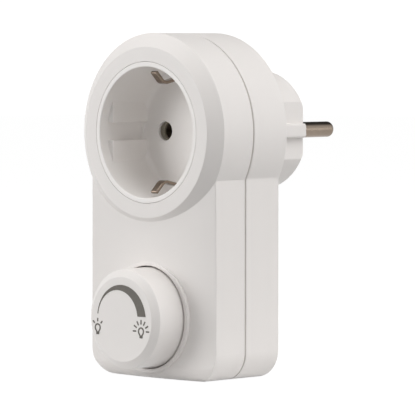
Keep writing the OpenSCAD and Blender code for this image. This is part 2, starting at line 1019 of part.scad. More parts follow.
module pot_case()
    color("#6f7377")
        difference() {
            rod(y_pot_in, y_pot_back, pot_r, 0, knob_z);
            rod(y_pot_in - far, y_pot_back - pot_wall, pot_r - pot_wall, 0, knob_z);
            at_terminals()
                rod(y_pot_in, y_pot_back + far, terminal_r + 0.15);
        }

module pot_bushing()
    color("#b89b5c")
        difference() {
            union() {
                rod(y_bushing, y_pot, pot_r, 0, knob_z);
                rod(y_neck, y_pot, neck_r, 0, knob_z);
            }
            rod(y_neck - far, y_pot + far, shaft_r + fit, 0, knob_z);
        }

module pot_track()
    color("#3b2f26")
        difference() {
            rod(y_track, y_track_back, pot_r - pot_wall - fit, 0, knob_z);
            rod(y_track - far, y_track_back + far, spindle_r + free, 0, knob_z);
        }

module pot_terminals()
    color("#c9ccce")
        at_terminals()
            rod(y_track_back + fit, y_parts + terminal_stub, terminal_r);

module pot_shaft()
    color("#d6d3cc")
        difference() {
            union() {
                rod(y_shaft, y_shoulder + shoulder_t / 2, shaft_r, 0, knob_z);
                rod(y_shoulder, y_shoulder + shoulder_t, shoulder_r, 0, knob_z);
                rod(y_shoulder, y_rotor + rotor_t, spindle_r, 0, knob_z);
            }
            block(
                -shaft_r, shaft_r, y_shaft - far, y_flat_end,
                knob_z + flat_depth, knob_z + shaft_r + far
            );
        }

module pot_wiper()
    color("#a8823c")
        difference() {
            union() {
                rod(y_rotor, y_rotor + rotor_t, rotor_r, 0, knob_z);
                for (side = [-1, 1])
                    block(
                        side * wiper_orbit - wiper_w / 2, side * wiper_orbit + wiper_w / 2,
                        y_rotor + rotor_t / 2, y_track - 0.1, knob_z - wiper_w / 2, knob_z + wiper_w / 2
                    );
            }
            rod(y_rotor - far, y_rotor + rotor_t + far, spindle_r + fit, 0, knob_z);
        }

// Dial
module knob_skin(inset)
    polygon([
        [0, y_knob + inset],
        [knob_face_r - inset / 2, y_knob + inset],
        [knob_top_r - inset, y_knob + knob_bevel + inset / 2],
        [knob_base_r - inset, y_knob_base],
        [0, y_knob_base]
    ]);

module knob()
    color("#efedea")
        difference() {
            union() {
                difference() {
                    turned(0, knob_z)
                        knob_skin(0);
                    translate([0, fit, 0])
                        turned(0, knob_z)
                            knob_skin(knob_wall);
                }
                rod(y_knob + knob_wall / 2, y_knob_base, hub_r, 0, knob_z);
                intersection() {
                    turned(0, knob_z)
                        knob_skin(knob_wall / 2);
                    for (turn = [0, 90])
                        translate([0, 0, knob_z])
                            rotate([0, turn, 0])
                                block(
                                    -knob_base_r, knob_base_r, y_knob + knob_wall / 2, y_knob_base - 2.4,
                                    -knob_rib_t / 2, knob_rib_t / 2
                                );
                }
            }
            slab(y_shaft - 0.3, y_knob_base + far)
                translate([0, knob_z])
                    difference() {
                        circle(shaft_r + fit);
                        translate([-shaft_r - far, flat_depth + fit])
                            square([2 * shaft_r + 2 * far, shaft_r]);
                    }
        }

// Pear shape of a lamp, narrowed all round by an inset
module lamp_shape(inset) {
    neck = lamp_neck_w / 2 - inset;
    shoulder = lamp_shoulder - inset;
    circle(lamp_r - inset);
    polygon([
        [-neck, -lamp_foot + inset],
        [neck, -lamp_foot + inset],
        [neck, -lamp_r],
        [shoulder, -lamp_r / 2],
        [-shoulder, -lamp_r / 2],
        [-neck, -lamp_r]
    ]);
}

// Outline of a lamp, with rays from an inner to an outer radius
module lamp_mark(at, rays, ray)
    translate(at) {
        difference() {
            lamp_shape(0);
            lamp_shape(lamp_line);
        }
        for (angle = rays)
            rotate(-angle)
                translate([-lamp_line / 2, ray[0]])
                    square([lamp_line, ray[1] - ray[0]]);
    }

module dial_print()
    color("#6a655c")
        slab(y_knob - print_t, y_knob)
            translate([0, knob_z]) {
                difference() {
                    circle(wedge_r);
                    translate(wedge_shift)
                        circle(wedge_inner_r);
                    translate([-wedge_r - far, -wedge_r - far])
                        square([2 * wedge_r + 2 * far, wedge_r + far + wedge_foot]);
                }
                lamp_mark(dim_lamp, dim_rays, dim_ray);
                lamp_mark(bright_lamp, bright_rays, bright_ray);
            }

// Triac and heat sink
module triac()
    color("#262628")
        difference() {
            union() {
                block(
                    triac_x - triac_w / 2, triac_x + triac_w / 2, y_triac, y_tab + triac_tab_t / 2,
                    triac_bottom, triac_bottom + triac_body_h
                );
                block(
                    triac_x - triac_w / 2, triac_x + triac_w / 2, y_tab, y_tab + triac_tab_t,
                    triac_bottom, triac_bottom + triac_tab_h
                );
            }
            rod(y_tab - far, y_tab + triac_tab_t + far, sink_screw_r + 0.2, triac_x, sink_screw_z);
        }

module triac_leads()
    color("#c9ccce")
        for (i = [-1:1]) {
            x = triac_x + i * 2.54;
            low = triac_bottom - triac_lead_drop;
            block(
                x - triac_lead_w / 2, x + triac_lead_w / 2, y_triac + 1, y_triac + 1.5,
                low, triac_bottom - fit
            );
            block(
                x - triac_lead_w / 2, x + triac_lead_w / 2, y_parts + fit, y_triac + 1.5,
                low, low + 0.5
            );
        }

module heat_sink()
    color("#b4b8bc")
        difference() {
            block(
                triac_x - sink_w / 2, triac_x + sink_w / 2, y_sink, y_sink + sink_t,
                triac_bottom, triac_bottom + sink_h
            );
            rod(y_sink - far, y_sink + sink_t + far, sink_screw_r + 0.2, triac_x, sink_screw_z);
        }

module heat_sink_screw()
    color("#8d9094")
        screw(
            y_sink + sink_t + fit, sink_head_r, sink_head_h, sink_screw_r, y_tab - nut_t - fit,
            triac_x, sink_screw_z
        );

module heat_sink_nut()
    color("#8d9094")
        difference() {
            translate([triac_x, y_tab - nut_t - fit, sink_screw_z])
                rotate([-90, 0, 0])
                    cylinder(h = nut_t, r = nut_r, $fn = 6);
            rod(y_tab - nut_t - far, y_tab + far, sink_screw_r + fit, triac_x, sink_screw_z);
        }

// Choke
module choke_core()
    color("#3c3c40")
        translate([choke_x, choke_y, choke_z]) {
            cylinder(h = choke_h, r = choke_core_r);
            cylinder(h = choke_flange_t, r = choke_r);
            translate([0, 0, choke_h - choke_flange_t])
                cylinder(h = choke_flange_t, r = choke_r);
        }

module choke_winding()
    color("#b0622c")
        translate([choke_x, choke_y, choke_z + choke_flange_t + fit])
            difference() {
                cylinder(h = choke_h - 2 * choke_flange_t - 2 * fit, r = choke_r - choke_rim);
                translate([0, 0, -far])
                    cylinder(h = choke_h, r = choke_core_r + fit);
            }

// Small components
module at_film_leads()
    for (x = [film_lead_inset, film_size[0] - film_lead_inset])
        translate([film_at[0] + x, 0, film_at[1] + film_size[2] / 2])
            children();

module film_capacitor()
    color("#c79a2e")
        translate([film_at[0], y_parts + seat, film_at[1]])
            cube(film_size);

module capacitor_leads()
    color("#c9ccce")
        at_film_leads()
            rod(y_board - 1, y_parts, lead_r);

module timing_capacitor()
    color("#8a2f28")
        translate([timing_at[0], y_parts + seat, timing_at[1]])
            cube(timing_size);

// Round body lying along Z with a lead bent to the board at each end
module axial(r, length, x, z) {
    y = y_parts + seat + r;
    reach = length / 2 + resistor_lead;
    translate([x, y, z]) {
        translate([0, 0, -length / 2])
            cylinder(h = length, r = r);
        translate([0, 0, -reach])
            cylinder(h = 2 * reach, r = axial_lead_r);
    }
    for (side = [-1, 1])
        rod(y_parts + fit, y, axial_lead_r, x, z + side * (reach - axial_lead_r));
}

module resistors()
    color("#b8956a")
        for (i = [0:2])
            axial(resistor_r, resistor_len, resistor_x + i * resistor_pitch, resistor_z);

module diac()
    color("#3f4f78")
        axial(diac_r, diac_len, diac_x, diac_z);

// Fuse
module along_x(x0, x1, r)
    translate([x0, fuse_y, fuse_z])
        rotate([0, 90, 0])
            cylinder(h = x1 - x0, r = r);

module fuse_tube()
    color("#cfe0e4")
        along_x(fuse_x - fuse_len / 2 + fuse_cap_len, fuse_x + fuse_len / 2 - fuse_cap_len, fuse_glass_r);

module fuse_caps()
    color("#c9ccce")
        for (side = [-1, 1])
            along_x(
                fuse_x + side * (fuse_len - fuse_cap_len) / 2 - fuse_cap_len / 2,
                fuse_x + side * (fuse_len - fuse_cap_len) / 2 + fuse_cap_len / 2,
                fuse_r
            );

module fuse_clips()
    color("#b89b5c")
        for (side = [-1, 1]) {
            x = fuse_x + side * (fuse_len - fuse_cap_len) / 2;
            difference() {
                block(
                    x - fuse_clip_w / 2, x + fuse_clip_w / 2, y_parts + seat, fuse_y + fuse_r * 0.8,
                    fuse_z - fuse_r - fuse_clip_t, fuse_z + fuse_r + fuse_clip_t
                );
                along_x(x - fuse_clip_w, x + fuse_clip_w, fuse_r + fit);
                block(
                    x - fuse_clip_w, x + fuse_clip_w, fuse_y, fuse_y + 2 * fuse_r,
                    fuse_z - fuse_r - fit, fuse_z + fuse_r + fit
                );
            }
        }

front_cover();
rear_cover();
socket_cup();
case_screws();
contact_carrier();
carrier_screws();
live_contact();
neutral_contact();
earth_bridge();
upper_earth_strip();
lower_earth_strip();
earth_rivets();
live_pin();
neutral_pin();
pin_plate();
pin_plate_screw();
live_wire();
load_wire();
circuit_board();
board_screws();
pot_case();
pot_bushing();
pot_track();
pot_terminals();
pot_shaft();
pot_wiper();
knob();
dial_print();
triac();
triac_leads();
heat_sink();
heat_sink_screw();
heat_sink_nut();
choke_core();
choke_winding();
film_capacitor();
capacitor_leads();
timing_capacitor();
resistors();
diac();
fuse_tube();
fuse_caps();
fuse_clips();
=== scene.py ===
import json
import math

import bpy
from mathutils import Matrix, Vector


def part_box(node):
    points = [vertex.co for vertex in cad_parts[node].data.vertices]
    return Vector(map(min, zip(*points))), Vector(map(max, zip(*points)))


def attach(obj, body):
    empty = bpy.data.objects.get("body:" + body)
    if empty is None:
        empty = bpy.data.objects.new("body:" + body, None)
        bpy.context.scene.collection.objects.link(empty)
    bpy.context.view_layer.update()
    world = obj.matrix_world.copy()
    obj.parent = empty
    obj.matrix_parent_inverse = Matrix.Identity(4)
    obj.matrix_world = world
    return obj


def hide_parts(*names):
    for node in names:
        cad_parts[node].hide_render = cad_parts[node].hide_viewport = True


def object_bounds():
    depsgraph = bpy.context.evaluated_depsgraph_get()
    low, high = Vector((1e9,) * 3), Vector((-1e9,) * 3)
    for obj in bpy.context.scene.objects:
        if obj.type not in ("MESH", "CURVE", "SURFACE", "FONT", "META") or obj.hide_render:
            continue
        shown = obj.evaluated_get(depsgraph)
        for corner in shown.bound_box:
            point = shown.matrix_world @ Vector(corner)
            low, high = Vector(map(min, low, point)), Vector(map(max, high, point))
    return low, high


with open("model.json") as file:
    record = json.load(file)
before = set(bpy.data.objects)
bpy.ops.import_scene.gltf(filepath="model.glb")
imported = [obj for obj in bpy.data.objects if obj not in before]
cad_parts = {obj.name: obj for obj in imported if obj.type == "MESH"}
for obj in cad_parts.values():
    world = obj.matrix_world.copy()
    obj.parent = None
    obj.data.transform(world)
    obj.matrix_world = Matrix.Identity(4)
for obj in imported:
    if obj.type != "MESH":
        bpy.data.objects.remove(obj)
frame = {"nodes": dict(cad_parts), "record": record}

cadLow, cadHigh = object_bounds()
mm = 0.001  # pieces are modelled in millimetres and brought to metres when finished
print("frame loaded:", len(frame["nodes"]), "nodes")

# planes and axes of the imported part
coverLow, coverHigh = (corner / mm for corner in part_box("front_cover"))
knobLow, knobHigh = (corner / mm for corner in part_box("knob"))
pinLow, pinHigh = (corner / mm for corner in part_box("live_pin"))
ringFace = coverLow.y
bottom = coverLow.z
headRadius = coverHigh.z
dialFace = knobLow.y
dialBase = knobHigh.y
dialZ = (knobLow.z + knobHigh.z) / 2
pinX = (pinLow.x + pinHigh.x) / 2
pinTip = pinHigh.y

caseSize = {
    "width": 52,
    "depth": 30,
    "wall": 2.2,
    "corner": 8.5,
    "seamDepth": 15.6,
    "seamGap": 0.5,
    "seamEdge": 0.28,
    "seamFloor": 0.75,  # depth of the groove along the seam
    "edge": 0.55,  # rounding of the outer edges
    "tongue": 0.9,
    "tongueLength": 2,
    "fit": 0.05,  # room between pieces that meet at the seam
}
ringStep = 3.1
bodyFace = ringFace + ringStep
rearFace = ringFace + caseSize["depth"]
seam = ringFace + caseSize["seamDepth"]
frontSeam = seam - caseSize["seamGap"] / 2
rearSeam = seam + caseSize["seamGap"] / 2
halfWidth = caseSize["width"] / 2
wall = caseSize["wall"]
screwSpots = [(-17.04, 17.04), (17.04, 17.04), (-19.5, -66), (19.5, -66)]
past = 1  # how far a cutter runs past the face it cuts
farPast = 5  # the same where there is room for more
wide = 25  # half size of a cutter that is wider than its piece
skim = 0.01  # how far a cutter's rim stands off a face, and a test off an edge
near = 0.001  # points closer to a plane than this lie on it
weld = 0.002  # points closer than this are one point


# Modelling helpers

def clearSelection():
    active = bpy.context.view_layer.objects.active
    if active and active.mode != "OBJECT":
        bpy.ops.object.mode_set(mode="OBJECT")
    bpy.ops.object.select_all(action="DESELECT")


def pick(piece):
    clearSelection()
    piece.select_set(True)
    bpy.context.view_layer.objects.active = piece


def settle(piece, name):  # place, turn and size go into the mesh
    piece.name = name
    piece.data.name = name
    pick(piece)
    bpy.ops.object.transform_apply(location=True, rotation=True, scale=True)
    return piece


def addBox(name, low, high, turn=0):
    clearSelection()
    middle = [(a + b) / 2 for a, b in zip(low, high)]
    bpy.ops.mesh.primitive_cube_add(size=1, location=middle, rotation=(0, math.radians(turn), 0))
    piece = bpy.context.object
    piece.scale = [b - a for a, b in zip(low, high)]
    return settle(piece, name)


def addRod(name, radius, front, back, x=0, z=0, sides=64):
    clearSelection()
    bpy.ops.mesh.primitive_cylinder_add(
        vertices=sides, radius=radius, depth=back - front,
        location=(x, (front + back) / 2, z), rotation=(math.radians(90), 0, 0))
    return settle(bpy.context.object, name)


def softCorners(corners, steps=5):  # corners (a, b, rounding) become a rounded outline
    outline = []
    for i, corner in enumerate(corners):
        here = Vector(corner[:2])
        if len(corner) == 2:
            outline.append(here)
            continue
        before = (Vector(corners[i - 1][:2]) - here).normalized()
        after = (Vector(corners[(i + 1) % len(corners)][:2]) - here).normalized()
        half = before.angle(after) / 2
        middle = here + (before + after).normalized() * corner[2] / math.sin(half)
        start = here + before * corner[2] / math.tan(half) - middle
        end = here + after * corner[2] / math.tan(half) - middle
        sweep = math.pi - 2 * half
        for k in range(steps + 1):
            t = k / steps
            arm = start * math.sin(sweep * (1 - t)) + end * math.sin(sweep * t)
            outline.append(middle + arm / math.sin(sweep))
    return outline


def arcPoints(a, b, radius, fromAngle, toAngle, steps=8):
    angles = [math.radians(fromAngle + (toAngle - fromAngle) * k / steps) for k in range(steps + 1)]
    return [Vector((a + radius * math.cos(angle), b + radius * math.sin(angle))) for angle in angles]


def startPoint(name, place):  # one vertex to extrude from
    clearSelection()
    bpy.ops.mesh.primitive_plane_add(size=1)
    piece = settle(bpy.context.object, name)
    bpy.ops.object.mode_set(mode="EDIT")
    bpy.ops.mesh.select_all(action="SELECT")
    bpy.ops.mesh.merge(type="CENTER")
    bpy.ops.transform.translate(value=place)
    return piece


def extrudeAlong(places):
    for here, there in zip(places, places[1:]):
        bpy.ops.mesh.extrude_vertices_move(TRANSFORM_OT_translate={"value": there - here})


def tidyMesh(piece):
    pick(piece)
    bpy.ops.object.mode_set(mode="EDIT")
    bpy.ops.mesh.select_all(action="SELECT")
    bpy.ops.mesh.remove_doubles(threshold=weld)
    bpy.ops.mesh.normals_make_consistent(inside=False)
    bpy.ops.object.mode_set(mode="OBJECT")
    return piece


def spinPiece(name, outline, x=0, z=0, steps=128):  # outline of (radius, depth) round an axis along Y
    places = [Vector((x + radius, depth, z)) for radius, depth in outline]
    piece = startPoint(name, places[0])
    extrudeAlong(places)
    bpy.ops.mesh.select_all(action="SELECT")
    bpy.ops.mesh.spin(steps=steps, angle=2 * math.pi, center=(x, 0, z), axis=(0, 1, 0))
    bpy.ops.object.mode_set(mode="OBJECT")
    return tidyMesh(piece)


def drawFace(name, places):  # face on a closed outline, left in edit mode
    piece = startPoint(name, places[0])
    extrudeAlong(places + places[:1])
    bpy.ops.mesh.select_all(action="SELECT")
    bpy.ops.mesh.remove_doubles(threshold=weld)
    bpy.ops.mesh.edge_face_add()
    return piece


def startSelecting(piece, kind):
    pick(piece)
    bpy.ops.object.mode_set(mode="EDIT")
    bpy.ops.mesh.select_mode(type=kind)
    bpy.ops.mesh.select_all(action="DESELECT")
    bpy.ops.object.mode_set(mode="OBJECT")


def selectEdges(piece, test):
    startSelecting(piece, "EDGE")
    points = piece.data.vertices
    for edge in piece.data.edges:
        a, b = (points[i].co for i in edge.vertices)
        edge.select = test(a, b)
    bpy.ops.object.mode_set(mode="EDIT")


def bevelWhere(piece, width, segments, test):
    selectEdges(piece, test)
    bpy.ops.mesh.bevel(offset=width, segments=segments, profile=0.5, affect="EDGES")
    bpy.ops.mesh.select_mode(type="VERT")
    bpy.ops.object.mode_set(mode="OBJECT")
    return piece


def applyModifier(piece, kind, **settings):
    pick(piece)
    modifier = piece.modifiers.new(kind.lower(), kind)
    for key, value in settings.items():
        setattr(modifier, key, value)
    bpy.ops.object.modifier_apply(modifier=modifier.name)
    return piece


def combine(piece, operation, *others):
    for other in others:
        applyModifier(piece, "BOOLEAN", operation=operation, object=other, solver="EXACT")
        bpy.data.objects.remove(other)
        bpy.ops.object.mode_set(mode="EDIT")
        bpy.ops.mesh.select_all(action="SELECT")
        bpy.ops.mesh.dissolve_degenerate(threshold=weld / 4)
        bpy.ops.object.mode_set(mode="OBJECT")
    return piece


def joinPieces(name, parts):
    pick(parts[0])
    for part in parts[1:]:
        part.select_set(True)
    bpy.ops.object.join()
    return settle(parts[0], name)


def atScrews(name, make):  # one copy at each case screw, as one object
    return joinPieces(name, [make(x, z) for x, z in screwSpots])


def copyPiece(piece, name, shift=(0, 0, 0), turn=0):  # turn about the Y axis through the origin
    pick(piece)
    bpy.ops.object.duplicate(linked=False)
    double = bpy.context.object
    double.location = shift
    double.rotation_euler = (0, math.radians(turn), 0)
    return settle(double, name)


def bentStrip(name, route, width, thickness, edge):  # route of (depth, height)
    clearSelection()
    bpy.ops.mesh.primitive_plane_add(size=width)
    piece = settle(bpy.context.object, name)
    startSelecting(piece, "VERT")
    for vertex in piece.data.vertices:
        vertex.select = vertex.co.y > 0
    bpy.ops.object.mode_set(mode="EDIT")
    bpy.ops.mesh.delete(type="VERT")
    bpy.ops.mesh.select_all(action="SELECT")
    places = [Vector((0, depth, height)) for depth, height in route]
    bpy.ops.transform.translate(value=places[0] + Vector((0, width / 2, 0)))
    for here, there in zip(places, places[1:]):
        bpy.ops.mesh.extrude_edges_move(TRANSFORM_OT_translate={"value": there - here})
    bpy.ops.object.mode_set(mode="OBJECT")
    tidyMesh(piece)
    applyModifier(piece, "SOLIDIFY", thickness=thickness, offset=0, use_even_offset=True)
    return applyModifier(piece, "BEVEL", width=edge, segments=3, limit_method="ANGLE",
                         angle_limit=math.radians(60))


def finishPiece(piece, body, slot, nodes, smoothAngle=32):
    tidyMesh(piece)
    piece.scale = (mm, mm, mm)
    settle(piece, piece.name)
    bpy.ops.object.shade_smooth_by_angle(angle=math.radians(smoothAngle))
    applyModifier(piece, "WEIGHTED_NORMAL", keep_sharp=True)
    piece.data.materials.clear()
    piece.data.materials.append(finishes[slot])
    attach(piece, body)
    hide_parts(*nodes)
    print("piece", piece.name, len(piece.data.polygons), "faces")
    return piece


# Materials

def newFinish(name):
    material = bpy.data.materials.new(name)
    material.use_nodes = True
    nodes = material.node_tree.nodes
    return material, nodes, material.node_tree.links, nodes["Principled BSDF"]


def grainNoise(nodes, links, scale, detail=2, stretch=(1, 1, 1), shift=(0, 0, 0)):
    where = nodes.new("ShaderNodeTexCoord")
    place = nodes.new("ShaderNodeMapping")
    place.inputs["Scale"].default_value = stretch
    place.inputs["Location"].default_value = shift
    noise = nodes.new("ShaderNodeTexNoise")
    noise.inputs["Scale"].default_value = scale
    noise.inputs["Detail"].default_value = detail
    links.new(where.outputs["Object"], place.inputs["Vector"])
    links.new(place.outputs["Vector"], noise.inputs["Vector"])
    return noise


noiseSpan = (0.3, 0.7)  # most of a noise lies between these


def spreadValue(nodes, links, noise, span, target):
    spread = nodes.new("ShaderNodeMapRange")
    spread.inputs["From Min"].default_value = noiseSpan[0]
    spread.inputs["From Max"].default_value = noiseSpan[1]
    spread.inputs["To Min"].default_value = span[0]
    spread.inputs["To Max"].default_value = span[1]
    links.new(noise.outputs["Fac"], spread.inputs["Value"])
    links.new(spread.outputs["Result"], target)


def blendColours(nodes, links, source, first, second):
    ramp = nodes.new("ShaderNodeValToRGB")
    for element, position, colour in zip(ramp.color_ramp.elements, noiseSpan, (first, second)):
        element.position = position
        element.color = (*colour, 1)
    links.new(source, ramp.inputs["Fac"])
    return ramp.outputs["Color"]


def addBump(nodes, links, shader, source, depth, strength=0.5):
    bump = nodes.new("ShaderNodeBump")
    bump.inputs["Strength"].default_value = strength
    bump.inputs["Distance"].default_value = depth * mm
    links.new(source, bump.inputs["Height"])
    links.new(bump.outputs["Normal"], shader.inputs["Normal"])


def shades(colour, amount):
    return [c * (1 - amount) for c in colour], [min(1, c * (1 + amount)) for c in colour]


def mouldedPlastic(name, look):
    material, nodes, links, shader = newFinish(name)
    cloud = grainNoise(nodes, links, look["cloud"])
    skin = grainNoise(nodes, links, look["grain"], 3)
    links.new(blendColours(nodes, links, cloud.outputs["Fac"], *shades(look["colour"], look["shift"])),
              shader.inputs["Base Color"])
    spreadValue(nodes, links, skin, look["roughness"], shader.inputs["Roughness"])
    shader.inputs["IOR"].default_value = look["ior"]
    addBump(nodes, links, shader, skin.outputs["Fac"], look["bump"])
    return material


def workedMetal(name, look):
    material, nodes, links, shader = newFinish(name)
    drawn = grainNoise(nodes, links, look["grain"], 4, look["stretch"])
    cloud = grainNoise(nodes, links, look["cloud"])
    links.new(blendColours(nodes, links, cloud.outputs["Fac"], *shades(look["colour"], look["shift"])),
              shader.inputs["Base Color"])
    spreadValue(nodes, links, drawn, look["roughness"], shader.inputs["Roughness"])
    shader.inputs["Metallic"].default_value = 1
    addBump(nodes, links, shader, drawn.outputs["Fac"], look["bump"], 0.3)
    return material


plasticLook = {
    "colour": (0.81, 0.777, 0.753),
    "shift": 0.012,
    "cloud": 40,
    "grain": 2600,
    "roughness": (0.36, 0.46),
    "ior": 1.46,
    "bump": 0.012,
}
metalLook = {
    "colour": (0.6, 0.58, 0.55),
    "shift": 0.06,
    "cloud": 220,
    "grain": 900,
    "stretch": (1, 0.12, 1),
    "roughness": (0.18, 0.34),
    "bump": 0.01,
}
plastics = {
    "case_plastic": {},
    # painted light: the cup is the case's white plastic, coloured lighter so that the shaded recess inside
    # it reads brighter
    "cup_plastic": {"colour": (0.912, 0.882, 0.857), "roughness": (0.42, 0.52)},
    "knob_plastic": {"colour": (0.82, 0.787, 0.763), "roughness": (0.34, 0.42)},
    "carrier_plastic": {"colour": (0.70, 0.66, 0.56), "roughness": (0.45, 0.55)},
    "print_ink": {
        "colour": (0.112, 0.101, 0.085), "shift": 0.08, "cloud": 900, "roughness": (0.5, 0.62)},
    "board_laminate": {
        "colour": (0.035, 0.16, 0.07), "shift": 0.2, "cloud": 500, "roughness": (0.3, 0.42)},
    "track_laminate": {
        "colour": (0.05, 0.032, 0.02), "shift": 0.25, "cloud": 700, "roughness": (0.4, 0.6)},
    "black_epoxy": {"colour": (0.02, 0.02, 0.022), "shift": 0.2, "roughness": (0.4, 0.6)},
    "ferrite": {"colour": (0.045, 0.045, 0.05), "shift": 0.3, "cloud": 900, "roughness": (0.55, 0.75)},
    "capacitor_case": {"colour": (0.62, 0.38, 0.05), "shift": 0.06, "roughness": (0.3, 0.4)},
    "capacitor_dip": {"colour": (0.30, 0.045, 0.03), "shift": 0.1, "roughness": (0.2, 0.3)},
    "resistor_body": {"colour": (0.50, 0.33, 0.17), "shift": 0.1, "roughness": (0.3, 0.4)},
    "diac_glass": {"colour": (0.06, 0.10, 0.26), "shift": 0.1, "roughness": (0.08, 0.16)},
    "brown_insulation": {"colour": (0.13, 0.055, 0.025), "shift": 0.1, "roughness": (0.35, 0.45)},
    "black_insulation": {"colour": (0.025, 0.025, 0.028), "shift": 0.15, "roughness": (0.35, 0.45)},
}
metals = {
    "nickel": {"colour": (0.275, 0.222, 0.178), "roughness": (0.1, 0.24)},
    "brass": {"colour": (0.45, 0.4, 0.32), "roughness": (0.38, 0.55)},
    "steel": {"colour": (0.42, 0.42, 0.43), "roughness": (0.25, 0.4)},
    "aluminium": {"colour": (0.68, 0.69, 0.70), "roughness": (0.3, 0.45), "stretch": (1, 1, 0.1)},
    "tinned_lead": {"colour": (0.60, 0.61, 0.62), "roughness": (0.28, 0.4)},
    "enamelled_copper": {
        "colour": (0.55, 0.20, 0.07), "grain": 2400, "stretch": (0.05, 0.05, 1), "bump": 0.08},
}
finishes = {slot: mouldedPlastic(slot, {**plasticLook, **look}) for slot, look in plastics.items()}
finishes.update({slot: workedMetal(slot, {**metalLook, **look}) for slot, look in metals.items()})


glassLook = {
    "colour": (0.86, 0.93, 0.94),
    "cloud": 300,
    "roughness": (0.03, 0.08),
    "clear": 0.9,
    "ior": 1.5,
}


def fuseGlass(name, look):
    material, nodes, links, shader = newFinish(name)
    cloud = grainNoise(nodes, links, look["cloud"])
    spreadValue(nodes, links, cloud, look["roughness"], shader.inputs["Roughness"])
    shader.inputs["Base Color"].default_value = (*look["colour"], 1)
    shader.inputs["Transmission Weight"].default_value = look["clear"]
    shader.inputs["IOR"].default_value = look["ior"]
    return material


finishes["fuse_glass"] = fuseGlass("fuse_glass", glassLook)
for row in frame["record"]["subparts"]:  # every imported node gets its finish
    cadNode = frame["nodes"].get(row.get("node", row.get("name")))
    if cadNode:
        cadNode.data.materials.clear()
        cadNode.data.materials.append(finishes[row["material_slot"]])
print("materials ready:", len(finishes))


# Case covers

def caseBody(name, inset, front, back):  # block below the head, moved inwards by an inset
    low = bottom + inset
    body = addBox(name, (-halfWidth + inset, front, low), (halfWidth - inset, back, 0))
    return bevelWhere(body, caseSize["corner"] - inset, 18,
                      lambda a, b: abs(a.y - b.y) > near and max(a.z, b.z) < low + skim)


def caseBlank(name, inset, front, back):  # the same with the round head
    head = addRod("head", headRadius - inset, front, back, sides=160)
    return combine(caseBody(name, inset, front, back), "UNION", head)


frontCover = {
    "ringRadius": 25.3,
    "ringEdge": 0.5,
    "headEdge": 0.35,
    "openingRadius": 20.95,
    "openingEdge": 0.1,
    "crownDrop": 0.75,  # middle of the body front behind the ring face
    "crownSweep": 12.5,  # half angle of the crowned sector
    "crownSteps": 50,
    "chinRadius": 4.5,
    "chinSteps": 16,
    "chinCorner": 6,  # corner of the chin, inside the body's own corner
    "loftLead": 6,  # how far the loft starts before the crown
    "loftFlat": 20,  # steps along its straight stretch
    "loftGap": 0.02,  # keeps the loft's sides clear of the body's
    "creaseEdge": 0.45,
    "creaseLength": 10,  # the crease's upright edges are longer than this
    "collarRadius": 16.7,
    "collarRise": 0.1,
    "collarEdge": 0.4,
    "wellRadius": 15.3,
    "wellDepth": 3.25,
    "wellEdge": 0.3,
    "wellFillet": 0.4,
    "neckHole": 3.55,
    "bossRadius": 3.0,
    "bossHole": 1.45,
    "bossBite": 8,
    "bossRoot": 0.5,  # the upper bosses start this deep in the ring
    "postRadius": 2.8,
    "postHole": 1.05,
    "postSpots": [(-19.5, -31.5), (19.5, -31.5)],
    "postEnd": -38.0,
    "postBite": 5.5,
    "smoothAngle": 24,  # keeps the crease between cone and body front
}


def crownAxis(size):  # depth of the crown's middle and of its upright axis
    crown = ringFace + size["crownDrop"]
    rise = ringStep - size["crownDrop"]
    return crown, crown + (halfWidth ** 2 + rise ** 2) / (2 * rise)


def chinLoft(size):  # outline of the body front, its chin fading into the sides at the corners
    crown, axis = crownAxis(size)
    corner = size["chinCorner"]
    chin = size["chinRadius"]
    reach = corner + size["loftGap"]
    sideX, centreZ = halfWidth - corner, bottom + corner
    flat = (reach - chin) / reach
    outline = [(-sideX - reach, past)]
    outline += arcPoints(-sideX, 0, reach, 180, 270, size["chinSteps"])
    outline += [(sideX * (2 * k / size["loftFlat"] - 1), -reach) for k in range(1, size["loftFlat"])]
    outline += arcPoints(sideX, 0, reach, 270, 360, size["chinSteps"])
    outline = [(x, z if z > past / 2 else centreZ + z * flat) for x, z in outline]
    outline.append((sideX + reach, past))
    lead = size["loftLead"]
    loft = drawFace("chinLoft", [
        Vector((x, axis - math.sqrt((axis - crown) ** 2 - x ** 2) - lead, z)) for x, z in outline])
    bpy.ops.mesh.extrude_region_move(TRANSFORM_OT_translate={"value": (0, lead, 0)})
    depth, scale = 0, flat
    for k in range(1, size["chinSteps"] + 1):
        turn = math.pi / 2 * k / size["chinSteps"]
        nextDepth = chin * (1 - math.cos(turn))
        nextScale = (reach - chin * (1 - math.sin(turn))) / reach
        bpy.ops.mesh.extrude_region_move(TRANSFORM_OT_translate={"value": (0, nextDepth - depth, 0)})
        bpy.ops.transform.resize(value=(1, 1, nextScale / scale), center_override=(0, 0, centreZ))
        depth, scale = nextDepth, nextScale
    bpy.ops.mesh.extrude_region_move(TRANSFORM_OT_translate={"value": (0, caseSize["depth"], 0)})
    bpy.ops.object.mode_set(mode="OBJECT")
    return tidyMesh(loft)


def crownSector(size, inset, chin):  # side profile of the body front swept about an upright axis
    crown, axis = crownAxis(size)
    turn = math.radians(size["crownSweep"])
    front, low, back = crown + inset, bottom + inset, seam + farPast
    lowCorner = (front, low, chin) if chin else (front, low - past)
    profile = softCorners([(front, past), lowCorner, (back, lowCorner[1]), (back, past)], 12)
    sector = drawFace("sector", [
        Vector(((axis - y) * math.sin(turn), axis - (axis - y) * math.cos(turn), z)) for y, z in profile])
    bpy.ops.mesh.spin(steps=size["crownSteps"], angle=2 * turn, center=(0, axis, 0), axis=(0, 0, 1))
    bpy.ops.object.mode_set(mode="OBJECT")
    return tidyMesh(sector)


def bodyFront(size, inset, back):
    body = caseBody("bodyFront", inset, ringFace - past, back)
    return combine(body, "INTERSECT", crownSector(size, inset, size["chinRadius"] - inset))


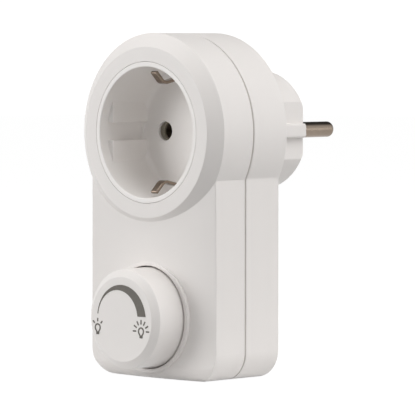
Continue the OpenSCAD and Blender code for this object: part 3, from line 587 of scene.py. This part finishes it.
def makeFrontCover(size):
    ringIn = ringFace + wall
    cover = spinPiece("frontCover", softCorners([
        (0, ringFace),
        (size["ringRadius"], ringFace, size["ringEdge"]),
        (headRadius, bodyFace, size["headEdge"]),
        (headRadius, frontSeam, caseSize["seamEdge"]),
        (0, frontSeam)]), steps=192)
    body = caseBody("body", 0, ringFace - past, frontSeam)
    bevelWhere(body, caseSize["seamEdge"], 2,
               lambda a, b: min(a.y, b.y) > frontSeam - near and min(a.z, b.z) < -near)
    combine(body, "INTERSECT", crownSector(size, size["loftGap"], 0), chinLoft(size))
    bevelWhere(body, size["creaseEdge"], 4, lambda a, b: (
        abs(a.z - b.z) > size["creaseLength"]
        and max(a.y, b.y) < bodyFace + size["creaseEdge"]
        and min(abs(a.x), abs(b.x)) > halfWidth - skim))
    combine(cover, "UNION", body)
    collarFace = ringFace + size["crownDrop"] - size["collarRise"]
    combine(cover, "UNION", spinPiece("collar", softCorners([
        (0, collarFace),
        (size["collarRadius"], collarFace, size["collarEdge"]),
        (size["collarRadius"], bodyFace),
        (0, bodyFace)]), 0, dialZ))
    innerRadius = headRadius - wall
    slope = ringStep / (headRadius - size["ringRadius"])
    innerHead = spinPiece("innerHead", [
        (0, ringIn),
        (size["ringRadius"], ringIn),
        (innerRadius, ringIn + (innerRadius - size["ringRadius"]) * slope),
        (innerRadius, seam + past),
        (0, seam + past)], steps=160)
    combine(cover, "DIFFERENCE", innerHead, bodyFront(size, wall, seam + past))
    lip = wall - caseSize["tongue"] - caseSize["fit"]
    lipFront = seam - caseSize["tongueLength"] - 2 * caseSize["fit"]
    combine(cover, "DIFFERENCE", caseBlank("tongueRoom", lip, lipFront, seam + past))
    wellFloor = collarFace + size["wellDepth"]
    well = addRod("wellCup", size["wellRadius"] + wall, ringFace, wellFloor + wall, 0, dialZ, 96)
    combine(cover, "UNION", combine(well, "INTERSECT", bodyFront(size, wall / 2, seam)))
    for i, (x, z) in enumerate(screwSpots):
        root = ringIn - size["bossRoot"] if i < 2 else bodyFace
        boss = addRod("boss", size["bossRadius"], root, seam - caseSize["fit"], x, z, 40)
        combine(cover, "UNION", boss)
    for x, z in size["postSpots"]:
        combine(cover, "UNION", addRod("post", size["postRadius"], bodyFace, size["postEnd"], x, z, 40))
    opening = size["openingRadius"]
    combine(cover, "DIFFERENCE", spinPiece("opening", softCorners([
        (0, ringFace - past),
        (opening + past, ringFace - past),
        (opening + past, ringFace - skim),
        (opening, ringFace - skim, size["openingEdge"]),
        (opening, ringIn + past),
        (0, ringIn + past)]), steps=160))
    wellRadius = size["wellRadius"]
    combine(cover, "DIFFERENCE", spinPiece("well", softCorners([
        (0, collarFace - past),
        (wellRadius + past, collarFace - past),
        (wellRadius + past, collarFace - skim),
        (wellRadius, collarFace - skim, size["wellEdge"]),
        (wellRadius, wellFloor, size["wellFillet"]),
        (0, wellFloor)]), 0, dialZ))
    combine(cover, "DIFFERENCE", addRod("neckHole", size["neckHole"], bodyFace, seam, 0, dialZ))
    biteStart = seam - size["bossBite"] - past
    combine(cover, "DIFFERENCE", atScrews(
        "holes", lambda x, z: addRod("hole", size["bossHole"], biteStart, seam + past, x, z, 32)))
    postFloor = size["postEnd"] - size["postBite"]
    for x, z in size["postSpots"]:
        hole = addRod("hole", size["postHole"], postFloor, size["postEnd"] + past, x, z, 32)
        combine(cover, "DIFFERENCE", hole)
    return finishPiece(cover, "case", "case_plastic", ["front_cover"], size["smoothAngle"])


rearCover = {
    "plugRadius": 17.9,
    "plugBase": 3.5,
    "flats": 31.5,
    "flatEnd": 1.1,
    "ribs": 35.2,
    "ribWidth": 4.4,
    "ribEdge": 0.8,
    "ribShort": 0.1,  # the ribs end before the plug's end face
    "endEdge": 1.0,
    "endWall": 2.2,
    "plugWall": 1.8,
    "sideSlack": 0.1,
    "channelWidth": 6.6,
    "channelFloor": 15.4,
    "channelWall": 1.6,
    "channelTop": 0.2,  # the channel's cutter stands this far out of the plug
    "tuckSlot": (-6.2, -2.2),
    "tuckSide": 0.4,
    "tuckDepth": 3,
    "pinHole": 3.05,
    "bossRadius": 3.0,
    "seatRadius": 4.15,
    "seatFront": -28.4,
    "headSeat": -25.0,
    "headHole": 3.0,
    "shankHole": 1.6,
    "mouthEdge": 0.3,
}


def plugBlock(size):
    plug = spinPiece("plug", softCorners([
        (0, rearFace - wall),
        (size["plugRadius"], rearFace - wall),
        (size["plugRadius"], 0, size["endEdge"]),
        (0, 0)]), steps=160)
    flat = size["flats"] / 2
    flatStart = rearFace + size["plugBase"]
    for side in (-1, 1):
        low, high = sorted((side * flat, side * (flat + farPast)))
        combine(plug, "DIFFERENCE", addBox("flat", (low, flatStart, -wide), (high, past, wide)))
    bevelWhere(plug, size["flatEnd"], 5, lambda a, b: (
        min(abs(a.x), abs(b.x)) > flat - skim
        and min(a.y, b.y) > -skim
        and abs(a.z - b.z) > size["ribWidth"]))
    ribStart = flatStart - past
    rib = addBox("rib", (-size["ribs"] / 2, ribStart, -size["ribWidth"] / 2),
                 (size["ribs"] / 2, -size["ribShort"], size["ribWidth"] / 2))
    bevelWhere(rib, size["ribEdge"], 4, lambda a, b: max(a.y, b.y) > ribStart + skim)
    return combine(plug, "UNION", rib)


def plugCavity(size):
    reach = size["plugRadius"] - size["plugWall"]
    cavity = addRod("cavity", reach, rearFace - wall - past, -size["endWall"], sides=96)
    side = size["flats"] / 2 - size["plugWall"]
    for x in (-1, 1):
        low, high = sorted((x * (side + size["sideSlack"]), x * wide))
        combine(cavity, "DIFFERENCE", addBox("side", (low, seam, -wide), (high, past, wide)))
    keep = size["channelWidth"] / 2 + size["channelWall"]
    for z in (-1, 1):
        low, high = sorted((z * (size["channelFloor"] - size["channelWall"]), z * wide))
        combine(cavity, "DIFFERENCE", addBox("channelWalls", (-keep, seam, low), (keep, past, high)))
    return cavity


def makeRearCover(size):
    cover = spinPiece("rearCover", softCorners([
        (0, rearSeam),
        (headRadius, rearSeam, caseSize["seamEdge"]),
        (headRadius, rearFace, caseSize["edge"]),
        (0, rearFace)]), steps=192)
    body = caseBody("body", 0, rearSeam, rearFace)
    bevelWhere(body, caseSize["edge"], 4,
               lambda a, b: min(a.y, b.y) > rearFace - near and min(a.z, b.z) < -near)
    bevelWhere(body, caseSize["seamEdge"], 2,
               lambda a, b: max(a.y, b.y) < rearSeam + near and min(a.z, b.z) < -near)
    combine(cover, "UNION", body)
    combine(cover, "DIFFERENCE", caseBlank("inner", wall, seam - past, rearFace - wall))
    tongueInset = wall - caseSize["tongue"]
    tongue = caseBlank("tongue", tongueInset, seam - caseSize["tongueLength"], rearSeam + past)
    combine(tongue, "DIFFERENCE", caseBlank("tongueRoom", wall, seam - farPast, seam + farPast))
    ledge = caseBlank("ledge", caseSize["seamFloor"], frontSeam + caseSize["fit"], rearSeam + past)
    combine(ledge, "DIFFERENCE", caseBlank("ledgeRoom", wall, seam - farPast, seam + farPast))
    combine(cover, "UNION", tongue, ledge, plugBlock(size))
    bossFront = seam + caseSize["fit"]
    boss = [
        (0, bossFront),
        (size["bossRadius"], bossFront),
        (size["bossRadius"], size["seatFront"]),
        (size["seatRadius"], size["seatFront"]),
        (size["seatRadius"], rearFace - past),
        (0, rearFace - past)]
    combine(cover, "UNION", atScrews("bosses", lambda x, z: spinPiece("boss", boss, x, z, 48)))
    combine(cover, "DIFFERENCE", plugCavity(size))
    channel = size["channelWidth"] / 2
    floor = size["channelFloor"]
    for z in (-1, 1):
        low, high = sorted((z * floor, z * (size["plugRadius"] + size["channelTop"])))
        room = addBox("channel", (-channel, rearFace - wall - past, low), (channel, past, high))
        low, high = sorted((z * (floor - size["tuckDepth"]), z * (floor + past)))
        half = channel - size["tuckSide"]
        tuckFront, tuckBack = size["tuckSlot"]
        slot = addBox("tuckSlot", (-half, tuckFront, low), (half, tuckBack, high))
        combine(cover, "DIFFERENCE", room, slot)
    for side in (-1, 1):
        hole = addRod("pinHole", size["pinHole"], -size["endWall"] - past, past, side * pinX, 0)
        combine(cover, "DIFFERENCE", hole)
    screwHole = softCorners([
        (0, seam - past),
        (size["shankHole"], seam - past),
        (size["shankHole"], size["headSeat"]),
        (size["headHole"], size["headSeat"]),
        (size["headHole"], rearFace + skim, size["mouthEdge"]),
        (size["headHole"] + past, rearFace + skim),
        (size["headHole"] + past, rearFace + past),
        (0, rearFace + past)])
    combine(cover, "DIFFERENCE", atScrews(
        "screwHoles", lambda x, z: spinPiece("screwHole", screwHole, x, z, 48)))
    return finishPiece(cover, "case", "case_plastic", ["rear_cover"])


# Socket cup and earth fingers

socketCup = {
    "rimRadius": 19.42,
    "floorRadius": 18.7,
    "depth": 17.7,
    "floorThickness": 2.6,
    "floorFillet": 1.6,
    "lipRadius": 20.87,
    "lipInner": 0.3,
    "lipOuter": 0.1,
    "wallRadius": 20.4,
    "flangeRadius": 23.6,
    "flangeFront": -49.25,
    "flangeBack": -47.65,
    "flats": 34.0,
    "flatsStart": 3.2,
    "grooveWidth": 5.3,
    "flatEdge": 0.2,
    "flatInset": 0.3,  # the side blocks stay this far inside the wall
    "stopLength": 0.9,  # raised end of the groove
    "stopRadius": 18.2,
    "stopOuter": 19.8,
    "stopSide": 0.4,
    "holeRadius": 2.84,
    "holeEdge": 0.3,
    "holeWall": 0.9,  # the holes widen behind this depth
    "holeRelief": 1.6,
    "slotWidth": 3.4,
    "slotHeight": 1.7,
    "slotZ": 17.0,
    "bossRoom": 3.5,
    "roomLead": 0.3,  # the bosses' room starts this far before the flange
}


def makeSocketCup(size):
    floor = ringFace + size["depth"]
    back = floor + size["floorThickness"]
    cup = spinPiece("socketCup", softCorners([
        (0, floor),
        (size["floorRadius"], floor, size["floorFillet"]),
        (size["rimRadius"], ringFace, size["lipInner"]),
        (size["lipRadius"], ringFace, size["lipOuter"]),
        (size["lipRadius"], size["flangeFront"]),
        (size["flangeRadius"], size["flangeFront"]),
        (size["flangeRadius"], size["flangeBack"]),
        (size["wallRadius"], size["flangeBack"]),
        (size["wallRadius"], back),
        (0, back)], 6), steps=160)
    start = ringFace + size["flatsStart"]
    blocks = addRod("flatBlocks", size["wallRadius"] - size["flatInset"], start, floor + past, sides=128)
    half = size["flats"] / 2
    groove = size["grooveWidth"] / 2
    combine(blocks, "DIFFERENCE",
            addBox("middle", (-half, start - past, -wide), (half, floor + farPast, wide)),
            addBox("groove", (-wide, start - past, -groove), (wide, floor + farPast, groove)))
    applyModifier(blocks, "BEVEL", width=size["flatEdge"], segments=3, limit_method="ANGLE",
                  angle_limit=math.radians(35))
    combine(cup, "UNION", blocks)
    for side in (-1, 1):
        low, high = sorted((side * size["stopRadius"], side * size["stopOuter"]))
        half = groove + size["stopSide"]
        stop = addBox("stop", (low, floor - size["stopLength"], -half), (high, floor + past, half))
        combine(cup, "UNION", stop)
    edge = size["holeEdge"]
    hole = size["holeRadius"]
    for side in (-1, 1):
        combine(cup, "DIFFERENCE", spinPiece("hole", softCorners([
            (0, floor - past),
            (hole + past, floor - past),
            (hole + past, floor - skim),
            (hole, floor - skim, edge),
            (hole, floor + size["holeWall"]),
            (hole + size["holeRelief"], floor + size["holeWall"]),
            (hole + size["holeRelief"], back + past),
            (0, back + past)]), side * pinX, 0, 64))
        slotZ = side * size["slotZ"]
        slot = addBox("slot", (-size["slotWidth"] / 2, floor - past, slotZ - size["slotHeight"] / 2),
                      (size["slotWidth"] / 2, back + past, slotZ + size["slotHeight"] / 2))
        combine(cup, "DIFFERENCE", slot)
    roomFront = size["flangeFront"] - size["roomLead"]
    for x, z in screwSpots[:2]:
        combine(cup, "DIFFERENCE", addRod("bossRoom", size["bossRoom"], roomFront, back + past, x, z, 40))
    # the cup's finish is the lighter copy of the case plastic, which paints light into the shaded recess
    return finishPiece(cup, "case", "cup_plastic", ["socket_cup"])


earthBridge = {
    "route": [(-47.9, 17.9), (-44.5, 14.5, 2.4), (-33.8, 16.9, 2), (-28.65, 17.3, 1.2), (-28.65, 9)],
    "fingerWidth": 2.6,
    "thickness": 0.9,
    "barWidth": 5,
    "barReach": 14.4,
    "edge": 0.2,
    "rivetZ": 12,
    "rivetHole": 1.05,
}


def makeEarthBridge(size):
    route = softCorners(size["route"], 6)
    finger = bentStrip("earthBridge", route, size["fingerWidth"], size["thickness"], size["edge"])
    other = copyPiece(finger, "lowerFinger", turn=180)
    depth = size["route"][-1][0]
    half = size["thickness"] / 2
    bar = addBox("bar", (-size["barWidth"] / 2, depth - half, -size["barReach"]),
                 (size["barWidth"] / 2, depth + half, size["barReach"]))
    applyModifier(bar, "BEVEL", width=size["edge"], segments=2)
    combine(finger, "UNION", other, bar)
    for z in (-1, 1):
        hole = addRod("hole", size["rivetHole"], depth - past, depth + past, 0, z * size["rivetZ"], 32)
        combine(finger, "DIFFERENCE", hole)
    return finishPiece(finger, "case", "nickel", ["earth_bridge"])


earthStrip = {
    "route": [(-27.75, 9), (-27.75, 16.6, 1.2), (-4.6, 16.6, 1.2), (-2.8, 12.8)],
    "width": 5,
    "thickness": 0.8,
    "edge": 0.18,
    "rivetZ": 12,
    "rivetHole": 1.05,
}


def makeEarthStrips(size):
    route = softCorners(size["route"], 6)
    upper = bentStrip("upperEarthStrip", route, size["width"], size["thickness"], size["edge"])
    depth = size["route"][0][0]
    hole = addRod("hole", size["rivetHole"], depth - past, depth + past, 0, size["rivetZ"], 32)
    combine(upper, "DIFFERENCE", hole)
    lower = copyPiece(upper, "lowerEarthStrip", turn=180)
    finishPiece(upper, "case", "nickel", ["upper_earth_strip"])
    finishPiece(lower, "case", "nickel", ["lower_earth_strip"])


# Pins and case screws

plugPin = {
    "radius": 2.4,
    "tip": 1.6,
    "shankRadius": 3.0,
    "shankEdge": 0.15,
    "flangeRadius": 3.8,
    "flangeEdge": 0.2,
    "flangeFront": -2.25,
    "flangeBack": -4.05,
    "tailRadius": 1.5,
    "tailEdge": 0.3,
    "tailEnd": -7.25,
}


def makePins(size):
    live = spinPiece("livePin", softCorners([
        (0, size["tailEnd"]),
        (size["tailRadius"], size["tailEnd"], size["tailEdge"]),
        (size["tailRadius"], size["flangeBack"]),
        (size["flangeRadius"], size["flangeBack"], size["flangeEdge"]),
        (size["flangeRadius"], size["flangeFront"]),
        (size["shankRadius"], size["flangeFront"]),
        (size["shankRadius"], 0, size["shankEdge"]),
        (size["radius"], 0),
        (size["radius"], pinTip, size["tip"]),
        (0, pinTip)], 8), pinX, 0, 64)
    neutral = copyPiece(live, "neutralPin", (-2 * pinX, 0, 0))
    finishPiece(live, "case", "nickel", ["live_pin"])
    finishPiece(neutral, "case", "nickel", ["neutral_pin"])


caseScrew = {
    "headRadius": 2.75,
    "headSeat": -25.0,
    "headTop": -23.1,
    "headEdge": 0.5,
    "seatEdge": 0.15,
    "shankRadius": 1.4,
    "rootRadius": 1.12,
    "plainShank": 6,  # length without ridges below the head
    "pitch": 1.1,
    "tip": -43.9,
    "tipLength": 1.2,
    "tipRadius": 0.3,
    "slotWidth": 0.75,
    "slotReach": 1.55,
    "slotDepth": 1.1,
}


def makeCaseScrews(size):
    ridges = []
    depth = size["tip"] + size["tipLength"]
    while depth < size["headSeat"] - size["plainShank"]:
        ridges += [(size["rootRadius"], depth), (size["shankRadius"], depth + size["pitch"] / 2)]
        depth += size["pitch"]
    outline = [(0, size["tip"]), (size["tipRadius"], size["tip"])] + ridges
    outline += softCorners([
        (size["rootRadius"], depth),
        (size["rootRadius"], size["headSeat"]),
        (size["headRadius"], size["headSeat"], size["seatEdge"]),
        (size["headRadius"], size["headTop"], size["headEdge"]),
        (0, size["headTop"])])
    x, z = screwSpots[0]
    first = spinPiece("caseScrews", outline, x, z, 48)
    slotFloor, slotTop = size["headTop"] - size["slotDepth"], size["headTop"] + past
    long, thin = size["slotReach"], size["slotWidth"] / 2
    for halfX, halfZ in ((long, thin), (thin, long)):
        slot = addBox("slot", (x - halfX, slotFloor, z - halfZ), (x + halfX, slotTop, z + halfZ))
        combine(first, "DIFFERENCE", slot)
    copies = [copyPiece(first, "screw", (x2 - x, 0, z2 - z)) for x2, z2 in screwSpots[1:]]
    joinPieces("caseScrews", [first] + copies)
    return finishPiece(first, "case", "steel", ["case_screws"])


# Dial

dialKnob = {
    "faceRadius": 12.5,
    "faceEdge": 0.4,
    "bevelRadius": 14.6,
    "bevelDepth": 1.6,
    "bevelEdge": 0.5,
    "baseRadius": 14.95,
    "baseEdge": 0.25,
    "wall": 1.7,
    "innerEdge": 0.5,
    "hubRadius": 5,
    "shaftHole": 3.05,
    "shaftFlat": 1.55,
    "shaftDepth": 4.5,
    "ribThickness": 1.2,
    "ribReach": 0.6,  # past the face's radius
    "ribDrop": 2.4,  # short of the knob's open edge
}


def makeKnob(size):
    thick = size["wall"]
    knob = spinPiece("dialKnob", softCorners([
        (0, dialFace),
        (size["faceRadius"], dialFace, size["faceEdge"]),
        (size["bevelRadius"], dialFace + size["bevelDepth"], size["bevelEdge"]),
        (size["baseRadius"], dialBase, size["baseEdge"]),
        (size["baseRadius"] - thick, dialBase),
        (size["bevelRadius"] - thick, dialFace + size["bevelDepth"] + thick / 2),
        (size["faceRadius"] - thick / 2, dialFace + thick, size["innerEdge"]),
        (0, dialFace + thick)], 7), 0, dialZ, 160)
    hub = addRod("hub", size["hubRadius"], dialFace + thick / 2, dialBase, 0, dialZ, 64)
    half = size["ribThickness"] / 2
    reach = size["faceRadius"] + size["ribReach"]
    ribFront, ribBack = dialFace + thick / 2, dialBase - size["ribDrop"]
    ribs = [
        addBox("rib", (-halfX, ribFront, dialZ - halfZ), (halfX, ribBack, dialZ + halfZ))
        for halfX, halfZ in ((reach, half), (half, reach))]
    combine(knob, "UNION", hub, *ribs)
    holeFloor = dialFace + size["shaftDepth"]
    shaftHole = addRod("shaftHole", size["shaftHole"], holeFloor, dialBase + past, 0, dialZ)
    flatZ = dialZ + size["shaftFlat"]
    flat = addBox("shaftFlat", (-farPast, dialFace, flatZ), (farPast, 0, flatZ + farPast))
    combine(shaftHole, "DIFFERENCE", flat)
    combine(knob, "DIFFERENCE", shaftHole)
    return finishPiece(knob, "dial", "knob_plastic", ["knob"])


dialPrint = {
    "thickness": 0.08,
    "wedgeRadius": 10.15,
    "wedgeInner": 8.35,
    "wedgeShift": (-1.55, 0.2),
    "wedgeFoot": 1.2,
    "lampRadius": 1.25,
    "lampArc": (-38, 218),
    "lampNeck": 0.62,
    "neckDrop": 1.3125,  # top of the neck below the bulb's middle
    "neckEdge": 0.3,
    "lampFoot": 2.0,
    "footEdge": 0.15,
    "footHeight": 0.85,
    "line": 0.44,
    "rayEdge": 0.198,
    "dimLamp": {"at": (-10.0, -2.9), "rays": (-45, 0, 45), "reach": (1.75, 2.8)},
    "brightLamp": {"at": (8.2, -3.1), "rays": (-90, -60, -30, 0, 30, 60, 90), "reach": (2.0, 3.4)},
}


def makeWedge(size, front, back):
    wedge = addRod("wedge", size["wedgeRadius"], front, back, 0, dialZ, 160)
    shiftX, shiftZ = size["wedgeShift"]
    inner = addRod("inner", size["wedgeInner"], front - past, back + past, shiftX, dialZ + shiftZ, 160)
    foot = dialZ + size["wedgeFoot"]
    low = addBox("foot", (-wide, front - past, dialZ - wide), (wide, back + past, foot))
    return combine(wedge, "DIFFERENCE", inner, low)


def makeLamp(size, lamp, front, back):
    x, z = lamp["at"]
    z += dialZ
    outline = arcPoints(x, z, size["lampRadius"], *size["lampArc"], 24)
    foot = z - size["lampFoot"]
    neck, neckTop = size["lampNeck"], z - size["neckDrop"]
    outline += softCorners([
        outline[-1],
        (x - neck, neckTop, size["neckEdge"]),
        (x - neck, foot, size["footEdge"]),
        (x + neck, foot, size["footEdge"]),
        (x + neck, neckTop, size["neckEdge"]),
        outline[0]], 3)[1:-1]
    pear = drawFace("lamp", [Vector((a, (front + back) / 2, b)) for a, b in outline])
    bpy.ops.mesh.inset(thickness=size["line"])
    bpy.ops.mesh.delete(type="FACE")
    bpy.ops.object.mode_set(mode="OBJECT")
    applyModifier(pear, "SOLIDIFY", thickness=back - front, offset=0)
    half = neck - size["line"]
    footLow, footHigh = foot + size["line"], foot + size["footHeight"]
    parts = [pear, addBox("lampFoot", (x - half, front, footLow), (x + half, back, footHigh))]
    inner, outer = lamp["reach"]
    middle = (inner + outer) / 2
    halfX, halfZ = size["line"] / 2, (outer - inner) / 2
    for angle in lamp["rays"]:
        rayX = x + middle * math.sin(math.radians(angle))
        rayZ = z + middle * math.cos(math.radians(angle))
        ray = addBox("ray", (rayX - halfX, front, rayZ - halfZ), (rayX + halfX, back, rayZ + halfZ), angle)
        bevelWhere(ray, size["rayEdge"], 3, lambda a, b: abs(a.y - b.y) > near)
        parts.append(ray)
    return parts


def makeDialPrint(size):
    front, back = dialFace - size["thickness"], dialFace
    parts = [makeWedge(size, front, back)]
    for lamp in (size["dimLamp"], size["brightLamp"]):
        parts += makeLamp(size, lamp, front, back)
    marks = joinPieces("dialPrint", parts)
    return finishPiece(marks, "dial", "print_ink", ["dial_print"])


makeFrontCover(frontCover)
makeRearCover(rearCover)
makeSocketCup(socketCup)
makeEarthBridge(earthBridge)
makeEarthStrips(earthStrip)
makePins(plugPin)
makeCaseScrews(caseScrew)
makeKnob(dialKnob)
makeDialPrint(dialPrint)


# Stage, light and camera

studio = {
    "target": (13.12, -38.73, -22.14),
    "azimuth": 44.22,
    "elevation": 2.67,
    "distance": 1000,
    "lens": 293.7,
    "sensor": 36,
    "clipStart": 50,
    "fill": 0.23,  # light from all round
    "frontFill": 0.36,  # light from the camera's side
    "backdrop": 1.08,  # a little over white, to stay plain white
    "floorSize": 6000,
    "floorCuts": 4,
    "floorGap": 0.1,  # the floor lies this far below the part
    "floorGlow": 0.97,
    "floorColour": (0.10, 0.10, 0.10),
    "nearBounce": (0.86, 0.86, 0.86),  # light that the floor gives back near the part
    "farBounce": (0.36, 0.36, 0.36),
    "bounceReach": 160,
    "bounceCentre": (18, 12),
    # dark patch of the world that only reflections show, in degrees
    "darkCard": {"azimuth": -157, "elevation": 39, "inner": 20, "outer": 44, "level": 0.08},
    "lamps": {
        "leftBox": {"azimuth": -41, "elevation": 8, "distance": 900, "size": 600, "power": 5.4},
        "topBox": {"azimuth": -60, "elevation": 70, "distance": 900, "size": 600, "power": 1.65},
        "rightBox": {"azimuth": 120, "elevation": 8, "distance": 900, "size": 600, "power": 1.8},
        "highBox": {"azimuth": 93, "elevation": 52, "distance": 900, "size": 600, "power": 4.7},
    },
}


def awayFrom(azimuth, elevation):
    a, e = math.radians(azimuth), math.radians(elevation)
    return Vector((math.sin(a) * math.cos(e), -math.cos(a) * math.cos(e), math.sin(e)))


def viewPoint(azimuth, elevation, distance):
    place = Vector(studio["target"]) + awayFrom(azimuth, elevation) * distance
    return place * mm, (math.radians(90 - elevation), 0, math.radians(azimuth))


def seenDirectly(nodes, links):  # 1 for the camera, a reflection or a view through glass
    path = nodes.new("ShaderNodeLightPath")
    either = nodes.new("ShaderNodeMath")
    either.operation = "MAXIMUM"
    direct = nodes.new("ShaderNodeMath")
    direct.operation = "MAXIMUM"
    links.new(path.outputs["Is Camera Ray"], either.inputs[0])
    links.new(path.outputs["Is Glossy Ray"], either.inputs[1])
    links.new(either.outputs["Value"], direct.inputs[0])
    links.new(path.outputs["Is Transmission Ray"], direct.inputs[1])
    return direct.outputs["Value"]


def makeFloor():
    clearSelection()
    height = cadLow.z - studio["floorGap"] * mm
    bpy.ops.mesh.primitive_plane_add(size=studio["floorSize"] * mm, location=(0, 0, height))
    floor = settle(bpy.context.object, "floor")
    bpy.ops.object.mode_set(mode="EDIT")
    bpy.ops.mesh.select_all(action="SELECT")
    bpy.ops.mesh.subdivide(number_cuts=studio["floorCuts"])
    bpy.ops.object.mode_set(mode="OBJECT")
    material = bpy.data.materials.new("paleFloor")
    material.use_nodes = True
    nodes, links = material.node_tree.nodes, material.node_tree.links
    nodes.remove(nodes["Principled BSDF"])
    matt = nodes.new("ShaderNodeBsdfDiffuse")
    where = nodes.new("ShaderNodeTexCoord")
    place = nodes.new("ShaderNodeMapping")
    centre = (*(side * mm for side in studio["bounceCentre"]), cadLow.z)
    place.inputs["Location"].default_value = [-c / (studio["bounceReach"] * mm) for c in centre]
    place.inputs["Scale"].default_value = [1 / (studio["bounceReach"] * mm)] * 3
    spread = nodes.new("ShaderNodeTexGradient")
    spread.gradient_type = "SPHERICAL"
    links.new(where.outputs["Object"], place.inputs["Vector"])
    links.new(place.outputs["Vector"], spread.inputs["Vector"])
    tone = blendColours(nodes, links, spread.outputs["Fac"], studio["farBounce"], studio["nearBounce"])
    links.new(tone, matt.inputs["Color"])
    faint = nodes.new("ShaderNodeBsdfDiffuse")
    faint.inputs["Color"].default_value = (*studio["floorColour"], 1)
    glow = nodes.new("ShaderNodeEmission")
    glow.inputs["Strength"].default_value = studio["floorGlow"]
    both = nodes.new("ShaderNodeAddShader")
    choose = nodes.new("ShaderNodeMixShader")
    links.new(faint.outputs["BSDF"], both.inputs[0])
    links.new(glow.outputs["Emission"], both.inputs[1])
    links.new(seenDirectly(nodes, links), choose.inputs["Fac"])
    links.new(matt.outputs["BSDF"], choose.inputs[1])
    links.new(both.outputs["Shader"], choose.inputs[2])
    links.new(choose.outputs["Shader"], nodes["Material Output"].inputs["Surface"])
    floor.data.materials.append(material)


def towardLevel(nodes, links, azimuth, elevation, reach, levels):  # level of the world by direction
    where = nodes.new("ShaderNodeTexCoord")
    facing = nodes.new("ShaderNodeVectorMath")
    facing.operation = "DOT_PRODUCT"
    facing.inputs[1].default_value = awayFrom(azimuth, elevation)
    links.new(where.outputs["Generated"], facing.inputs[0])
    spread = nodes.new("ShaderNodeMapRange")
    for socket, value in zip(("From Min", "From Max", "To Min", "To Max"), (*reach, *levels)):
        spread.inputs[socket].default_value = value
    links.new(facing.outputs["Value"], spread.inputs["Value"])
    return spread.outputs["Result"]


def makeWorld():
    world = bpy.data.worlds.new("paleStudio")
    bpy.context.scene.world = world
    world.use_nodes = True
    nodes, links = world.node_tree.nodes, world.node_tree.links
    card = studio["darkCard"]
    soft = towardLevel(nodes, links, studio["azimuth"], studio["elevation"],
                       (0, 1), (studio["fill"], studio["frontFill"]))
    cardReach = [math.cos(math.radians(card[key])) for key in ("outer", "inner")]
    mirrored = towardLevel(nodes, links, card["azimuth"], card["elevation"], cardReach, (1, card["level"]))
    path = nodes.new("ShaderNodeLightPath")
    glossy = nodes.new("ShaderNodeMapRange")
    links.new(path.outputs["Is Glossy Ray"], glossy.inputs["Value"])
    links.new(soft, glossy.inputs["To Min"])
    links.new(mirrored, glossy.inputs["To Max"])
    plain = nodes.new("ShaderNodeMath")
    plain.operation = "MAXIMUM"
    links.new(path.outputs["Is Camera Ray"], plain.inputs[0])
    links.new(path.outputs["Is Transmission Ray"], plain.inputs[1])
    level = nodes.new("ShaderNodeMapRange")
    level.inputs["To Max"].default_value = studio["backdrop"]
    links.new(plain.outputs["Value"], level.inputs["Value"])
    links.new(glossy.outputs["Result"], level.inputs["To Min"])
    nodes["Background"].inputs["Color"].default_value = (1, 1, 1, 1)
    links.new(level.outputs["Result"], nodes["Background"].inputs["Strength"])


def makeLamps():
    for name, lamp in studio["lamps"].items():
        place, turn = viewPoint(lamp["azimuth"], lamp["elevation"], lamp["distance"])
        bpy.ops.object.light_add(type="AREA", location=place, rotation=turn)
        light = bpy.context.object
        light.name = name
        light.data.size = lamp["size"] * mm
        light.data.energy = lamp["power"]


def makeCamera():
    place, turn = viewPoint(studio["azimuth"], studio["elevation"], studio["distance"])
    bpy.ops.object.camera_add(location=place, rotation=turn)
    camera = bpy.context.object
    camera.data.lens = studio["lens"]
    camera.data.sensor_width = studio["sensor"]
    camera.data.clip_start = studio["clipStart"] * mm
    bpy.context.scene.camera = camera


clearSelection()
makeFloor()
makeWorld()
makeLamps()
makeCamera()
bpy.context.scene.view_settings.view_transform = "Standard"
print("stage, light and camera ready")
